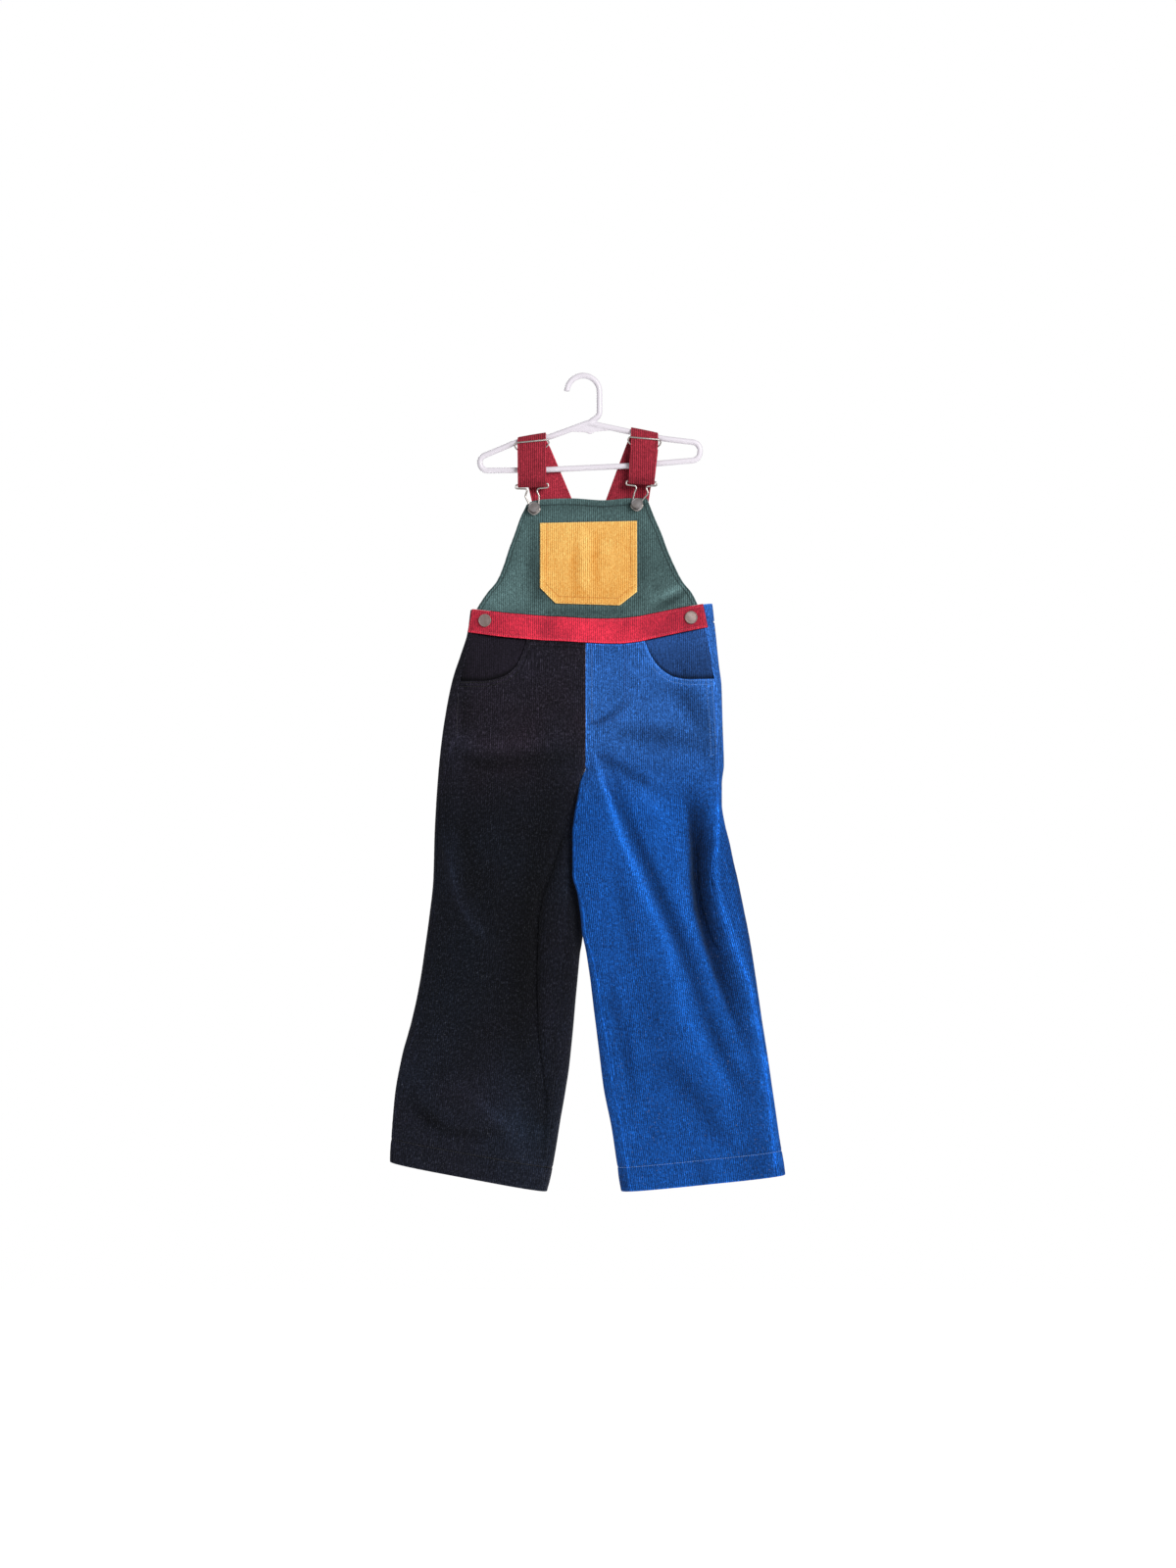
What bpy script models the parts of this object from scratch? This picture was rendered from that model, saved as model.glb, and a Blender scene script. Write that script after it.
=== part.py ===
"""Child's colour-block corduroy bib overalls, hanging on a plastic tubular hanger.

The garment faces -Y and hangs straight down. The origin is where the hanger's hook
rests. Sizes are in millimetres here and are turned into metres when a mesh is made.
Left and right are those of someone who looks at the front.
"""

import math

import bmesh
import bpy
import numpy as np
from mathutils import Matrix, Vector

METRES = 0.001

# Driving sizes, mm.
CENTRE_X = 3.0          # the centre seam hangs this far right of the hook's rest
GAP = 0.3               # between two pieces that are sewn or lie together
CLOTH = 2.0             # corduroy wall
POCKET_CLOTH = 1.6      # patch pocket and pocket facings
BAND_CLOTH = 2.2        # waistband
STRAP_CLOTH = 2.2       # folded strap
HEM_CLOTH = 3.4         # leg hem, turned up and stitched
HEM_DEEP = 30.0
POCKET_EASE = 0.3       # more room behind the front for the pocket facing
CROTCH_CLOTH = 1.1      # the wall at the crotch itself
CROTCH_THINS = 28.0     # and how far from there it reaches its full thickness

WAIST_CENTRE_Z = -326.5     # lower edge of the waistband at the centre seam
HEM_CENTRE_Z = -998.5       # inner corner of each hem
CROTCH_Z = -480.0
SADDLE = 60.0               # height over which the walls close to the crotch
BAND_TOP = -0.0446          # share of the leg's length, upwards from the waist seam
BACK_TOP = -0.0436
TUCK = 0.55                 # how soon a nested inner edge leaves its place

HANGER_TUBE = 7.2           # diameter
WIRE = 2.2                  # buckle wire
SLIDER_WIRE = 2.0
SLIDER_DROP = 8.0       # its back bar hangs this far below the front one
SIDE_BUTTON = 15.8
HOOK_BUTTON = 14.4


def table(columns, *rows):
    """A table with named columns, its rows sorted by the first of them."""
    values = np.array(sorted(rows), float)
    return {name: values[:, i] for i, name in enumerate(columns.split())}


def course(*rows):
    """A fold's line, in its own order: place, half of its width and its depth."""
    values = np.array(rows, float)
    return {name: values[:, i] for i, name in enumerate(("out", "z", "half", "deep"))}


# Side of a leg: how far from the centre seam the silhouette and the front
# panel's seam are at each height.
LEFT_OUTER = table(
    "z edge seam",
    (-278, 140.5, 117), (-301, 143.5, 117), (-308, 144.5, 137), (-312, 145, 139.5),
    (-338, 153, 145), (-370, 163.5, 153.5), (-409, 171.5, 159.5), (-446, 177, 162),
    (-480, 180.5, 170), (-521, 183.5, 178.5), (-560, 185.5, 181.5), (-614, 187, 183),
    (-661, 192, 187), (-690, 196, 190), (-738, 203, 196), (-786, 213, 203),
    (-834, 226, 219), (-882, 234.5, 230), (-930, 238.5, 235), (-962.5, 240.5, 237))
RIGHT_OUTER = table(
    "z edge seam",
    (-276, 155.5, 122), (-297, 158, 122), (-303, 158.5, 143), (-307, 159, 146),
    (-354, 164, 155), (-378, 167, 158.5), (-426, 168.5, 161), (-474, 170, 162),
    (-498, 167.5, 162), (-522, 167.5, 162), (-546, 171, 163), (-570, 177, 161),
    (-594, 182, 156), (-615, 187, 154.5), (-642, 192.5, 161), (-690, 202, 177),
    (-738, 209.5, 199), (-786, 216.5, 210), (-834, 224, 218.5), (-882, 231, 224),
    (-930, 238, 229), (-978, 245.5, 234))
LEFT_INNER = table(
    "z edge seam",
    (-480, 0, 0), (-488, 4.2, 6), (-496, 6.6, 9.5), (-512, 8.5, 13), (-536, 11, 17),
    (-560, 12.5, 19), (-608, 12.5, 21.5), (-632, 8, 22), (-656, 4.5, 24),
    (-680, 3, 25.5), (-694, 4.5, 26.5), (-706, 6.6, 27), (-730, 9, 28.5),
    (-756, 11.4, 30), (-843, 19.8, 35.5), (-917, 31.8, 42), (-961, 39, 46.5),
    (-998.5, 47.4, 52.5))
RIGHT_INNER = table(
    "z edge seam",
    (-480, 0, 0), (-488, -2.6, -1), (-496, -5.5, -3), (-512, -9, -6),
    (-536, -13.8, -10.5), (-560, -16.2, -13), (-608, -16.2, -12.5), (-632, -10.2, -6.5),
    (-656, -6.6, -2.5), (-680, -4.2, 1), (-704, 0.6, 7), (-736, 5.4, 14),
    (-776, 10.2, 20), (-824, 16.2, 28.5), (-872, 22.2, 35.5), (-920, 31.8, 45),
    (-968, 39, 52), (-998.5, 43.8, 57))

# How far the waist seam hangs below a straight line from the side to the centre.
LEFT_DROP = table("out drop", (0, -1.4), (27, -0.3), (55, 1.2), (99, 1.8), (145, 0))
RIGHT_DROP = table(
    "out drop",
    (0, -1.4), (27, 3), (51, 5.5), (63, 5.5), (81, 4), (99, 2.3), (120, 0.4), (145, -1.7))

# How far the front and back stand off the middle plane, and how the inner edges
# nest, the right one in front of the left one.
DEPTH = table(
    "z front back nest_left nest_right",
    (-276, 12, 11, 0, 0), (-320, 12.5, 11.5, 0, 0), (-400, 15, 14, 0, 0),
    (-480, 17, 15, 0, 0), (-496, 17.5, 15, 4, -6), (-512, 18, 15, 7, -9),
    (-540, 18.5, 15, 9, -11), (-660, 19, 15, 9, -11), (-700, 18.5, 14.5, 7, -8),
    (-745, 18, 14, 0, 0), (-900, 17, 13, 0, 0), (-1000, 17, 13, 0, 0))

# The front panel's top edge, cut away for the hip pocket.
LEFT_SCOOP = table(
    "out z",
    (72.6, -326), (77.4, -338.4), (85.8, -355.2), (102.6, -367.2), (126.6, -372),
    (165, -372))
RIGHT_SCOOP = table(
    "out z",
    (73.8, -326), (78.6, -338.4), (93, -357.6), (109.8, -367.2), (129, -369.6),
    (170, -368.4))

# Largest folds: the line that each follows, half its width, and its depth into
# the garment, less than nothing for a ridge.
FRONT_FOLDS_LEFT = {
    "hip_ridge": course((20, -455, 11, -0.5), (90, -449, 13, -2.5),
                       (165, -452, 12, -1.5)),
    "hip_crease": course((10, -476, 10, 0.5), (70, -470, 12, 2.6),
                        (150, -473, 12, 1.2)),
    "thigh_ridge": course((117, -690, 15, -0.5), (138, -664, 14, -4.0),
                         (153, -640, 12, -5.0), (170, -578, 12, -2.0)),
    "thigh_dent": course((98, -676, 16, 0.5), (122, -640, 16, 3.2),
                        (140, -588, 15, 1.5)),
    "inner_crease": course((36, -598, 8, 0.5), (51, -652, 9, 4.5),
                          (56, -744, 9, 5.5), (57, -804, 9, 4.5), (50, -870, 10, 1.0)),
    "shin_ridge": course((82, -948, 14, -1.0), (107, -906, 15, -3.5),
                        (153, -851, 15, -1.5)),
    "shin_crease": course((130, -928, 10, 0.5), (186, -915, 10, 3.0),
                         (213, -883, 10, 1.0)),
}
FRONT_FOLDS_RIGHT = {
    "side_fold": course((132, -540, 9, 0.5), (135, -572, 10, 7.0),
                       (138, -606, 10, 10.0), (146, -648, 10, 10.5),
                       (156, -690, 10, 9.0), (168, -732, 10, 5.5),
                       (186, -780, 11, 1.5)),
    "long_ridge": course((24, -493, 13, -1.0), (41, -554, 15, -3.5),
                        (64, -614, 17, -4.0), (106, -661, 18, -4.0),
                        (138, -728, 18, -3.0), (165, -803, 17, -2.5),
                        (186, -880, 16, -0.8)),
    "hip_crease": course((40, -447, 11, 0.6), (100, -452, 13, 2.6),
                        (152, -462, 12, 1.6)),
    "knee_dent": course((58, -690, 24, 0.8), (78, -760, 28, 2.6),
                       (104, -850, 28, 0.8)),
}
BACK_FOLDS = {
    "seat_crease": course((12, -492, 11, 1.0), (62, -472, 13, 3.5),
                         (120, -462, 13, 1.5)),
    "thigh_ridge": course((60, -560, 16, -1.5), (84, -640, 18, -4.0),
                         (120, -730, 18, -2.0)),
    "knee_crease": course((168, -640, 11, 1.0), (150, -700, 12, 4.5),
                         (158, -790, 12, 3.0), (172, -870, 12, 0.8)),
    "shin_dent": course((78, -800, 22, 1.0), (96, -880, 24, 3.0),
                       (120, -940, 22, 1.0)),
}

# Bib and pocket outlines, from the centre seam.
BIB_SIDES = table(
    "z left right",
    (-147, -70, 75), (-156, -72.6, 78.5), (-171, -79.8, 84.5), (-191, -87, 93.3),
    (-210, -94.2, 100.2), (-229, -100.4, 108.6), (-248, -108.6, 118.4),
    (-264, -121.6, 131), (-282, -133.6, 139.6))
BIB_TOP = table(
    "x z",
    (-72.6, -156), (-66, -151.5), (-51, -148.8), (-18.6, -147.6), (22.2, -150),
    (53.4, -147.6), (75, -147.6))
BIB_TOP_Y = -6.0            # outer side of the bib between the buckles
POCKET_LEFT, POCKET_RIGHT = -55.8, 63.0
POCKET_TOP_Z = -177.0
POCKET_FOOT = table(
    "x z",
    (-55.8, -258), (-36.6, -277.2), (42, -279.6), (63, -262.8))

# Back yoke: its sides, and its V-shaped top between the two straps.
YOKE_SIDES = table(
    "z left right",
    (-156, -64.8, 76.8), (-180, -66, 79), (-210, -70, 84), (-240, -80, 93),
    (-265, -97, 108), (-279, -118, 130))
YOKE_TOP_Z = -156.0
YOKE_NOTCH = (4.2, -196.8)
YOKE_TOP_Y = 6.2

# Straps. Each row: where the piece is, its two edges there, and how steeply it
# leans across its width.
STRAP_LEFT = {
    "arm_z": -75.1, "arm_slope": 0.17, "slide_z": -78.6, "slide_slope": 0.094,
    "turn_z": -130.8, "turn_slope": 0.04, "yoke_z": -155.7,
    "top": (-83.4, -48.6), "turn": (-83.0, -48.0), "yoke": (-64.8, -13.3)}
STRAP_RIGHT = {
    "arm_z": -69.2, "arm_slope": -0.2065, "slide_z": -75.0, "slide_slope": -0.09,
    "turn_z": -127.4, "turn_slope": -0.04, "yoke_z": -155.7,
    "top": (55.8, 89.0), "turn": (52.2, 84.6), "yoke": (22.4, 76.8)}
LOOP_Y = -7.65              # middle of the strap's loop, where the buckle's bar lies
LAYER_OFF = 2.5             # from there to the middle of each of its two layers

BUTTON_SEATS = {"left": (-63.0, -162.0), "right": (63.0, -157.4)}
BUTTON_TILT = math.radians(16)
SIDE_BUTTON_SEATS = {"left": (-122.6, -298.0), "right": (128.5, -294.4)}

# Hanger: corners of its closed frame and of its hook, with the radius of each bend.
FRAME_CORNERS = [
    (3, -54.5, 6), (-43, -71.2, 16), (-86, -78.5, 30), (-131.5, -97.5, 9),
    (-127.5, -113.2, 9), (-48, -112, 60), (55, -107.2, 60), (139.5, -100, 10),
    (141.5, -79.3, 10), (96, -74, 60), (48, -64.1, 16)]
HOOK_STEM = (4.2, -54.6)
HOOK_BEND = (17.0, -45.2, 8)
HOOK_CENTRE = (-3.0, -16.4)
HOOK_RADIUS = 20.0
HOOK_SWEEP = math.radians(178)
WEB = [(-38, -69.5), (3, -55), (43, -64), (28, -63.8), (12, -65.4), (5.5, -68.6),
       (-1, -66), (-18, -65.4)]
WEB_THICK = 2.6

COLOURS = {
    "black_corduroy": ((0.016, 0.015, 0.018), 0.85, 0.0),
    "blue_corduroy": ((0.025, 0.105, 0.36), 0.85, 0.0),
    "green_corduroy": ((0.042, 0.107, 0.1), 0.85, 0.0),
    "yellow_corduroy": ((0.74, 0.4, 0.07), 0.85, 0.0),
    "red_corduroy": ((0.5, 0.016, 0.04), 0.85, 0.0),
    "nickel": ((0.42, 0.4, 0.38), 0.35, 1.0),
    "white_plastic": ((0.86, 0.84, 0.87), 0.4, 0.0),
}


def smooth(at, xs, ys):
    """A smooth curve through a table's rows, level beyond its ends."""
    at = np.clip(at, xs[0], xs[-1])
    slopes = np.diff(ys) / np.diff(xs)
    tangents = np.zeros_like(ys)
    turning = slopes[:-1] * slopes[1:]
    total = np.where(turning > 0, slopes[:-1] + slopes[1:], 1)
    tangents[1:-1] = np.where(turning > 0, 2 * turning / total, 0)
    tangents[0], tangents[-1] = slopes[0], slopes[-1]
    i = np.clip(np.searchsorted(xs, at, side="right") - 1, 0, len(xs) - 2)
    step = xs[i + 1] - xs[i]
    t = (at - xs[i]) / step
    return (ys[i] * (1 + 2 * t) * (1 - t) ** 2 + tangents[i] * step * t * (1 - t) ** 2
            + ys[i + 1] * t * t * (3 - 2 * t) + tangents[i + 1] * step * t * t * (t - 1))


def look(tab, column, at):
    """A column of a table at a value of its first column."""
    return smooth(np.asarray(at, float), next(iter(tab.values())), tab[column])


def fold_depth(folds, out, z):
    """How far the folds push the cloth into the garment at a place on a leg."""
    total = np.zeros(np.broadcast(out, z).shape)
    for line in folds.values():
        best = np.zeros_like(total)
        for i in range(len(line["z"]) - 1):
            ax, az = line["out"][i], line["z"][i]
            dx, dz = line["out"][i + 1] - ax, line["z"][i + 1] - az
            t = np.clip(((out - ax) * dx + (z - az) * dz) / (dx * dx + dz * dz), 0, 1)
            half = line["half"][i] + t * (line["half"][i + 1] - line["half"][i])
            deep = line["deep"][i] + t * (line["deep"][i + 1] - line["deep"][i])
            away = np.hypot(out - ax - t * dx, z - az - t * dz) / half
            push = deep * np.exp(-away ** 2)
            best = np.where(np.abs(push) > np.abs(best), push, best)
        total += best
    return total


class Leg:
    """One leg's closed section at each share v of its length, waist seam to hem.

    Along a section, q is 0 at the outer edge and 1 at the inner one over the front,
    and runs from 0 to -1 over the back. Above the crotch the section is open at the
    centre seam.
    """

    def __init__(self, side, outer, inner, nest, drop, waist_z, hem_z, front_folds, scoop):
        self.side = side
        self.outer = outer
        self.inner = inner
        self.nest = nest
        self.drop = drop
        self.waist_z = waist_z
        self.hem_z = hem_z
        self.front_folds = front_folds
        self.scoop = scoop

    def heights(self, v):
        z_out = self.waist_z + v * (self.hem_z - self.waist_z)
        z_in = WAIST_CENTRE_Z + v * (HEM_CENTRE_Z - WAIST_CENTRE_Z)
        return z_out, z_in

    def closure(self, v):
        above = (self.heights(v)[1] - CROTCH_Z) / SADDLE
        return (1 - np.clip(above, 0, 1)) ** 2

    def span(self, v):
        z_out, z_in = self.heights(v)
        edge_out = look(self.outer, "edge", z_out)
        edge_in = look(self.inner, "edge", z_in)
        return (edge_out + edge_in) / 2, (edge_out - edge_in) / 2

    def seam_q(self, v):
        """Where the front panel's outer and inner seams are."""
        z_out, z_in = self.heights(v)
        middle, half = self.span(v)
        seams = look(self.outer, "seam", z_out), look(self.inner, "seam", z_in)
        return [np.arccos(np.clip((s - middle) / half, -1, 1)) / np.pi for s in seams]

    def point(self, q, v):
        """Points on the outer side of the cloth."""
        q, v = np.broadcast_arrays(np.asarray(q, float), np.asarray(v, float))
        z_out, z_in = self.heights(v)
        middle, half = self.span(v)
        along, around = np.cos(np.pi * q), np.sin(np.pi * q)
        open_inside = np.where(along < 0, 1 - self.closure(v), 0)
        rise = np.sqrt(around ** 2 * (1 + along ** 2) * (1 - open_inside) + open_inside)
        inward = (1 - along) / 2
        out = middle + half * along
        waist = np.clip(1 - np.abs(v) / 0.25, 0, 1)
        z = z_out + (z_in - z_out) * inward - look(self.drop, "drop", out) * waist
        z_mid = (z_out + z_in) / 2
        on_front = around + 1e-9 * np.sign(q) >= 0
        on_front = np.where(np.abs(q) >= 1, (q >= 1) | (q < -1), on_front)
        reach = np.where(on_front, -look(DEPTH, "front", z_mid), look(DEPTH, "back", z_mid))
        hold = np.clip(rise * 1.4, 0, 1) ** 2
        push = np.where(on_front, fold_depth(self.front_folds, out, z),
                        -fold_depth(BACK_FOLDS, out, z)) * hold
        nest = look(DEPTH, self.nest, z_mid) * inward ** (1 / TUCK)
        y = nest + reach * rise + push
        return np.stack([CENTRE_X + self.side * out, y, z], axis=-1)

    def normal(self, q, v):
        """Outward normals, one-sided where the section is open at the centre seam."""
        q, v = np.broadcast_arrays(np.asarray(q, float), np.asarray(v, float))
        dq, dv = 1e-3, 1e-3
        is_open = self.closure(v) < 1
        low = np.where(is_open, np.maximum(q - dq, -1), q - dq)
        high = np.where(is_open, np.minimum(q + dq, 1), q + dq)
        along = self.point(high, v) - self.point(low, v)
        down = self.point(q, v + dv) - self.point(q, v - dv)
        n = self.side * np.cross(along, down)
        return n / np.linalg.norm(n, axis=-1, keepdims=True)

    def columns(self, v, q_from, q_to, shares):
        """Places between two edges, each 0.15 mm inside, spaced by length and bend."""
        dense = q_from + (q_to - q_from) * np.linspace(0, 1, 241)
        line = self.point(dense, v)
        steps = np.diff(line, axis=0)
        length = np.linalg.norm(steps, axis=1)
        heading = np.unwrap(np.arctan2(steps[:, 1], steps[:, 0]))
        bend = np.concatenate([[0], np.abs(np.diff(heading))])
        weight = np.concatenate([[0], np.cumsum(length + 9.0 * bend)])
        travel = np.concatenate([[0], np.cumsum(length)])
        inset = np.interp([GAP / 2, travel[-1] - GAP / 2], travel, weight)
        return np.interp(inset[0] + shares * (inset[1] - inset[0]), weight, dense)

    def place(self, x, v):
        """The front's q at a distance x from the centre seam, above the crotch."""
        middle, half = self.span(v)
        return np.arccos(np.clip((self.side * x - middle) / half, -1, 1)) / np.pi


LEFT = Leg(-1, LEFT_OUTER, LEFT_INNER, "nest_left", LEFT_DROP, -312.0, -962.5,
           FRONT_FOLDS_LEFT, LEFT_SCOOP)
RIGHT = Leg(1, RIGHT_OUTER, RIGHT_INNER, "nest_right", RIGHT_DROP, -307.0, -978.0,
            FRONT_FOLDS_RIGHT, RIGHT_SCOOP)
LEGS = {"left": LEFT, "right": RIGHT}

CROTCH_V = (CROTCH_Z - WAIST_CENTRE_Z) / (HEM_CENTRE_Z - WAIST_CENTRE_Z)
HEM_V = 1 - HEM_DEEP / (WAIST_CENTRE_Z - HEM_CENTRE_Z)
SCOOP_END_V = 0.152
SEAM_V = GAP / 2 / 660


def leg_rows():
    """Shares of the leg's length, closest round the crotch."""
    runs = [(SEAM_V, SCOOP_END_V, 6), (SCOOP_END_V, 0.19, 1), (0.19, CROTCH_V, 4),
            (CROTCH_V, 0.30, 5), (0.30, 0.51, 7), (0.51, 0.58, 3), (0.58, HEM_V, 10)]
    rows = [np.linspace(a, b, n + 1)[:-1] for a, b, n in runs]
    return np.concatenate(rows + [[HEM_V, HEM_V + 0.006, 1.0]])


def material(name):
    """The named colour as a Principled material."""
    if name in bpy.data.materials:
        return bpy.data.materials[name]
    colour, roughness, metallic = COLOURS[name]
    mat = bpy.data.materials.new(name)
    mat.use_nodes = True
    shader = mat.node_tree.nodes["Principled BSDF"]
    shader.inputs["Base Color"].default_value = (*colour, 1.0)
    shader.inputs["Roughness"].default_value = roughness
    shader.inputs["Metallic"].default_value = metallic
    return mat


def add_mesh(name, mesh, colour):
    """Link a mesh as a named object, shaded smooth, with its faces turned outwards."""
    bm = bmesh.new()
    bm.from_mesh(mesh)
    bmesh.ops.recalc_face_normals(bm, faces=bm.faces)
    bm.to_mesh(mesh)
    bm.free()
    mesh.materials.append(material(colour))
    mesh.shade_smooth()
    obj = bpy.data.objects.new(name, mesh)
    bpy.context.scene.collection.objects.link(obj)
    return obj


def wall(name, outer, inner, colour):
    """A closed cloth wall between two grids of points, with a rim round its edges."""
    rows, cols = outer.shape[:2]
    points = np.concatenate([outer.reshape(-1, 3), inner.reshape(-1, 3)]) * METRES
    under = rows * cols
    faces = []
    for r in range(rows - 1):
        for c in range(cols - 1):
            a = r * cols + c
            for corner in ((a, a + 1, a + cols + 1), (a, a + cols + 1, a + cols)):
                faces.append(corner)
                faces.append(tuple(under + i for i in reversed(corner)))
    border = ([c for c in range(cols)] + [r * cols + cols - 1 for r in range(1, rows)]
              + [(rows - 1) * cols + c for c in range(cols - 2, -1, -1)]
              + [r * cols for r in range(rows - 2, 0, -1)])
    for a, b in zip(border, border[1:] + border[:1]):
        faces.append((b, a, under + a, under + b))
    mesh = bpy.data.meshes.new(name)
    mesh.from_pydata(points.tolist(), [], faces)
    mesh.validate()
    return add_mesh(name, mesh, colour)


def panel(name, leg, q, v, near, far, colour):
    """A wall on a leg's surface: near and far are its two sides' distances out."""
    points, normals = leg.point(q, v), leg.normal(q, v)
    keep_to_side(leg, q, v, normals)
    return wall(name, points + normals * far, points + normals * near, colour)


def keep_to_side(leg, q, v, normals):
    """At the centre seam a wall never leans over to the other leg."""
    at_centre = (np.abs(q) > 0.985) & (leg.closure(v) < 1)
    leans = at_centre & (normals[..., 0] * leg.side > 0)
    normals[..., 0] = np.where(leans, 0, normals[..., 0])


FRONT_SHARES = np.array([0, 0.055, 0.11, 0.165, 0.235, 0.31, 0.37, 0.42, 0.455, 0.48, 0.57,
                         0.68, 0.79, 0.90, 1])
BACK_SHARES = np.linspace(0, 1, 18)
FACING_COLUMNS = 11     # of the front's columns, from the side seam inwards


def scoop_top(leg, share):
    """Where along the leg the front panel begins, at a share of its width."""
    v = SEAM_V
    for _ in range(12):
        q_out, q_in = leg.seam_q(v)
        q = leg.columns(v, q_out, q_in, np.array([share]))[0]
        x, _, z = leg.point(q, v)
        out = leg.side * (x - CENTRE_X)
        if out < leg.scoop["out"][0] - 0.5:
            return SEAM_V
        edge = look(leg.scoop, "z", out)
        v = max(SEAM_V, v + (z - edge) / (WAIST_CENTRE_Z - HEM_CENTRE_Z))
    return v


def front_rows(top):
    """The front panel's rows below its own top edge, the same as all others' lower down."""
    rows = leg_rows()
    pulled = SCOOP_END_V - (SCOOP_END_V - rows) * (SCOOP_END_V - top) / (SCOOP_END_V - SEAM_V)
    return np.where(rows < SCOOP_END_V, pulled, rows)


def front_places(leg, shares, v):
    """The front's q at shares of its width, one column for each, at heights v."""
    q = np.zeros_like(v)
    for i, j in np.ndindex(*v.shape):
        q_out, q_in = leg.seam_q(v[i, j])
        q[i, j] = leg.columns(v[i, j], q_out, q_in, shares[j:j + 1])[0]
    return q


def cloth_depth(leg, q, v):
    """The wall's thickness: thin where four seams meet at the crotch, double in the hem."""
    at = leg.point(q, v)
    near = np.hypot(at[..., 0] - CENTRE_X, at[..., 2] - CROTCH_Z) / CROTCH_THINS
    thick = CROTCH_CLOTH + (CLOTH - CROTCH_CLOTH) * np.clip(near, 0, 1) ** 2
    return np.where(v > HEM_V + 0.003, HEM_CLOTH, thick)[..., None]


def front_panel(name, leg, colour):
    v = np.stack([front_rows(scoop_top(leg, share)) for share in FRONT_SHARES], axis=1)
    q = front_places(leg, FRONT_SHARES, v)
    return panel(name, leg, q, v, -cloth_depth(leg, q, v), 0.0, colour)


def back_panel(name, leg, colour):
    top = BACK_TOP
    rows = np.concatenate([[top, top / 2, top / 7], leg_rows()])
    q = []
    for v in rows:
        q_out, q_in = leg.seam_q(v)
        end = -1.0 if leg.closure(v) < 1 else -2 + q_in
        q.append(leg.columns(v, q_out, end, BACK_SHARES))
    q = np.array(q)
    v = np.repeat(rows[:, None], q.shape[1], axis=1)
    return panel(name, leg, q, v, -cloth_depth(leg, q, v), 0.0, colour)


def pocket_facing(name, leg, colour):
    """The piece behind the scoop, sewn in at the waist and side seams."""
    shares = FRONT_SHARES[:FACING_COLUMNS]
    columns = []
    for share in shares:
        top = scoop_top(leg, share)
        below = front_rows(top)
        above = SEAM_V + (top - SEAM_V) * np.array([0, 0.36, 0.7])
        if top > SEAM_V * 2:
            columns.append(np.concatenate([above, below[:3]]))
        else:
            columns.append(below[:6] * 0.7)
    v = np.stack(columns, axis=1)
    q = front_places(leg, shares, v)
    out = -CLOTH - GAP - POCKET_EASE
    return panel(name, leg, q, v, out - POCKET_CLOTH, out, colour)


def waistband(name, colour):
    """Across both legs' fronts, proud of them, its ends over the back's edges."""
    ends = {"left": (138.0, 143.4), "right": (143.4, 149.4)}
    v_rows = np.linspace(BAND_TOP, -SEAM_V, 4)
    grids = {"near": [], "far": []}
    for v in v_rows:
        down = (v - BAND_TOP) / -BAND_TOP
        row = {"near": [], "far": []}
        for key, leg in LEGS.items():
            end = ends[key][0] + down * (ends[key][1] - ends[key][0])
            q_end = leg.place(leg.side * end, v)
            q = q_end + (1 - q_end) * np.linspace(0, 1, 13) ** 1.5
            points, normals = leg.point(q, v), leg.normal(q, v)
            normals[-1] = (0, -1, 0)
            if key == "right":
                points, normals = points[::-1][1:], normals[::-1][1:]
            row["near"].append(points + normals * GAP)
            row["far"].append(points + normals * (GAP + BAND_CLOTH))
        for side in grids:
            grids[side].append(np.concatenate(row[side]))
    return wall(name, np.array(grids["far"]), np.array(grids["near"]), colour)


def front_at(x, v):
    """The front's depth and height at a distance from the centre seam."""
    y, z = np.zeros_like(x), np.zeros_like(x)
    for leg in LEGS.values():
        mine = x * leg.side >= 0
        points = leg.point(leg.place(x[mine], v), v)
        y[mine], z[mine] = points[..., 1], points[..., 2]
    return y, z


def back_at(x, v):
    """The back's depth and height at a distance from the centre seam."""
    y, z = np.zeros_like(x), np.zeros_like(x)
    for leg in LEGS.values():
        mine = x * leg.side >= 0
        points = leg.point(-leg.place(x[mine], v), v)
        y[mine], z[mine] = points[..., 1], points[..., 2]
    return y, z


def bib_surface(x_share, down):
    """Points on the bib's outer side, x_share across it and down its height."""
    foot_v = BAND_TOP - 2 * SEAM_V
    foot_z = {}
    for key, column in (("left", -1), ("right", 1)):
        foot_z[key] = LEGS[key].heights(foot_v)[0]
    top_z = {"left": BIB_TOP["z"][0], "right": BIB_TOP["z"][-1]}
    edges = {}
    for key in ("left", "right"):
        z_edge = top_z[key] + down * (foot_z[key] - top_z[key])
        edges[key] = look(BIB_SIDES, key, z_edge)
    x = edges["left"] + x_share * (edges["right"] - edges["left"])
    at_top = BIB_TOP["x"][0] + x_share * (BIB_TOP["x"][-1] - BIB_TOP["x"][0])
    at_foot = look(BIB_SIDES, "left", foot_z["left"]) * (1 - x_share) \
        + look(BIB_SIDES, "right", foot_z["right"]) * x_share
    foot_y, foot_height = front_at(at_foot, foot_v)
    z_top = look(BIB_TOP, "z", at_top)
    z = z_top + down * (foot_height - z_top)
    ease = down * down * (3 - 2 * down)
    belly = -1.6 * np.sin(np.pi * x_share) * np.sin(np.pi * down)
    y = BIB_TOP_Y + ease * (foot_y - BIB_TOP_Y) + belly
    return np.stack([CENTRE_X + x, y, z], axis=-1)


def bib(name, colour):
    u, v = np.meshgrid(np.linspace(0, 1, 15), np.linspace(0, 1, 12))
    points = bib_surface(u, v)
    inner = points + np.array([0, CLOTH, 0])
    return wall(name, points, inner, colour)


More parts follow.
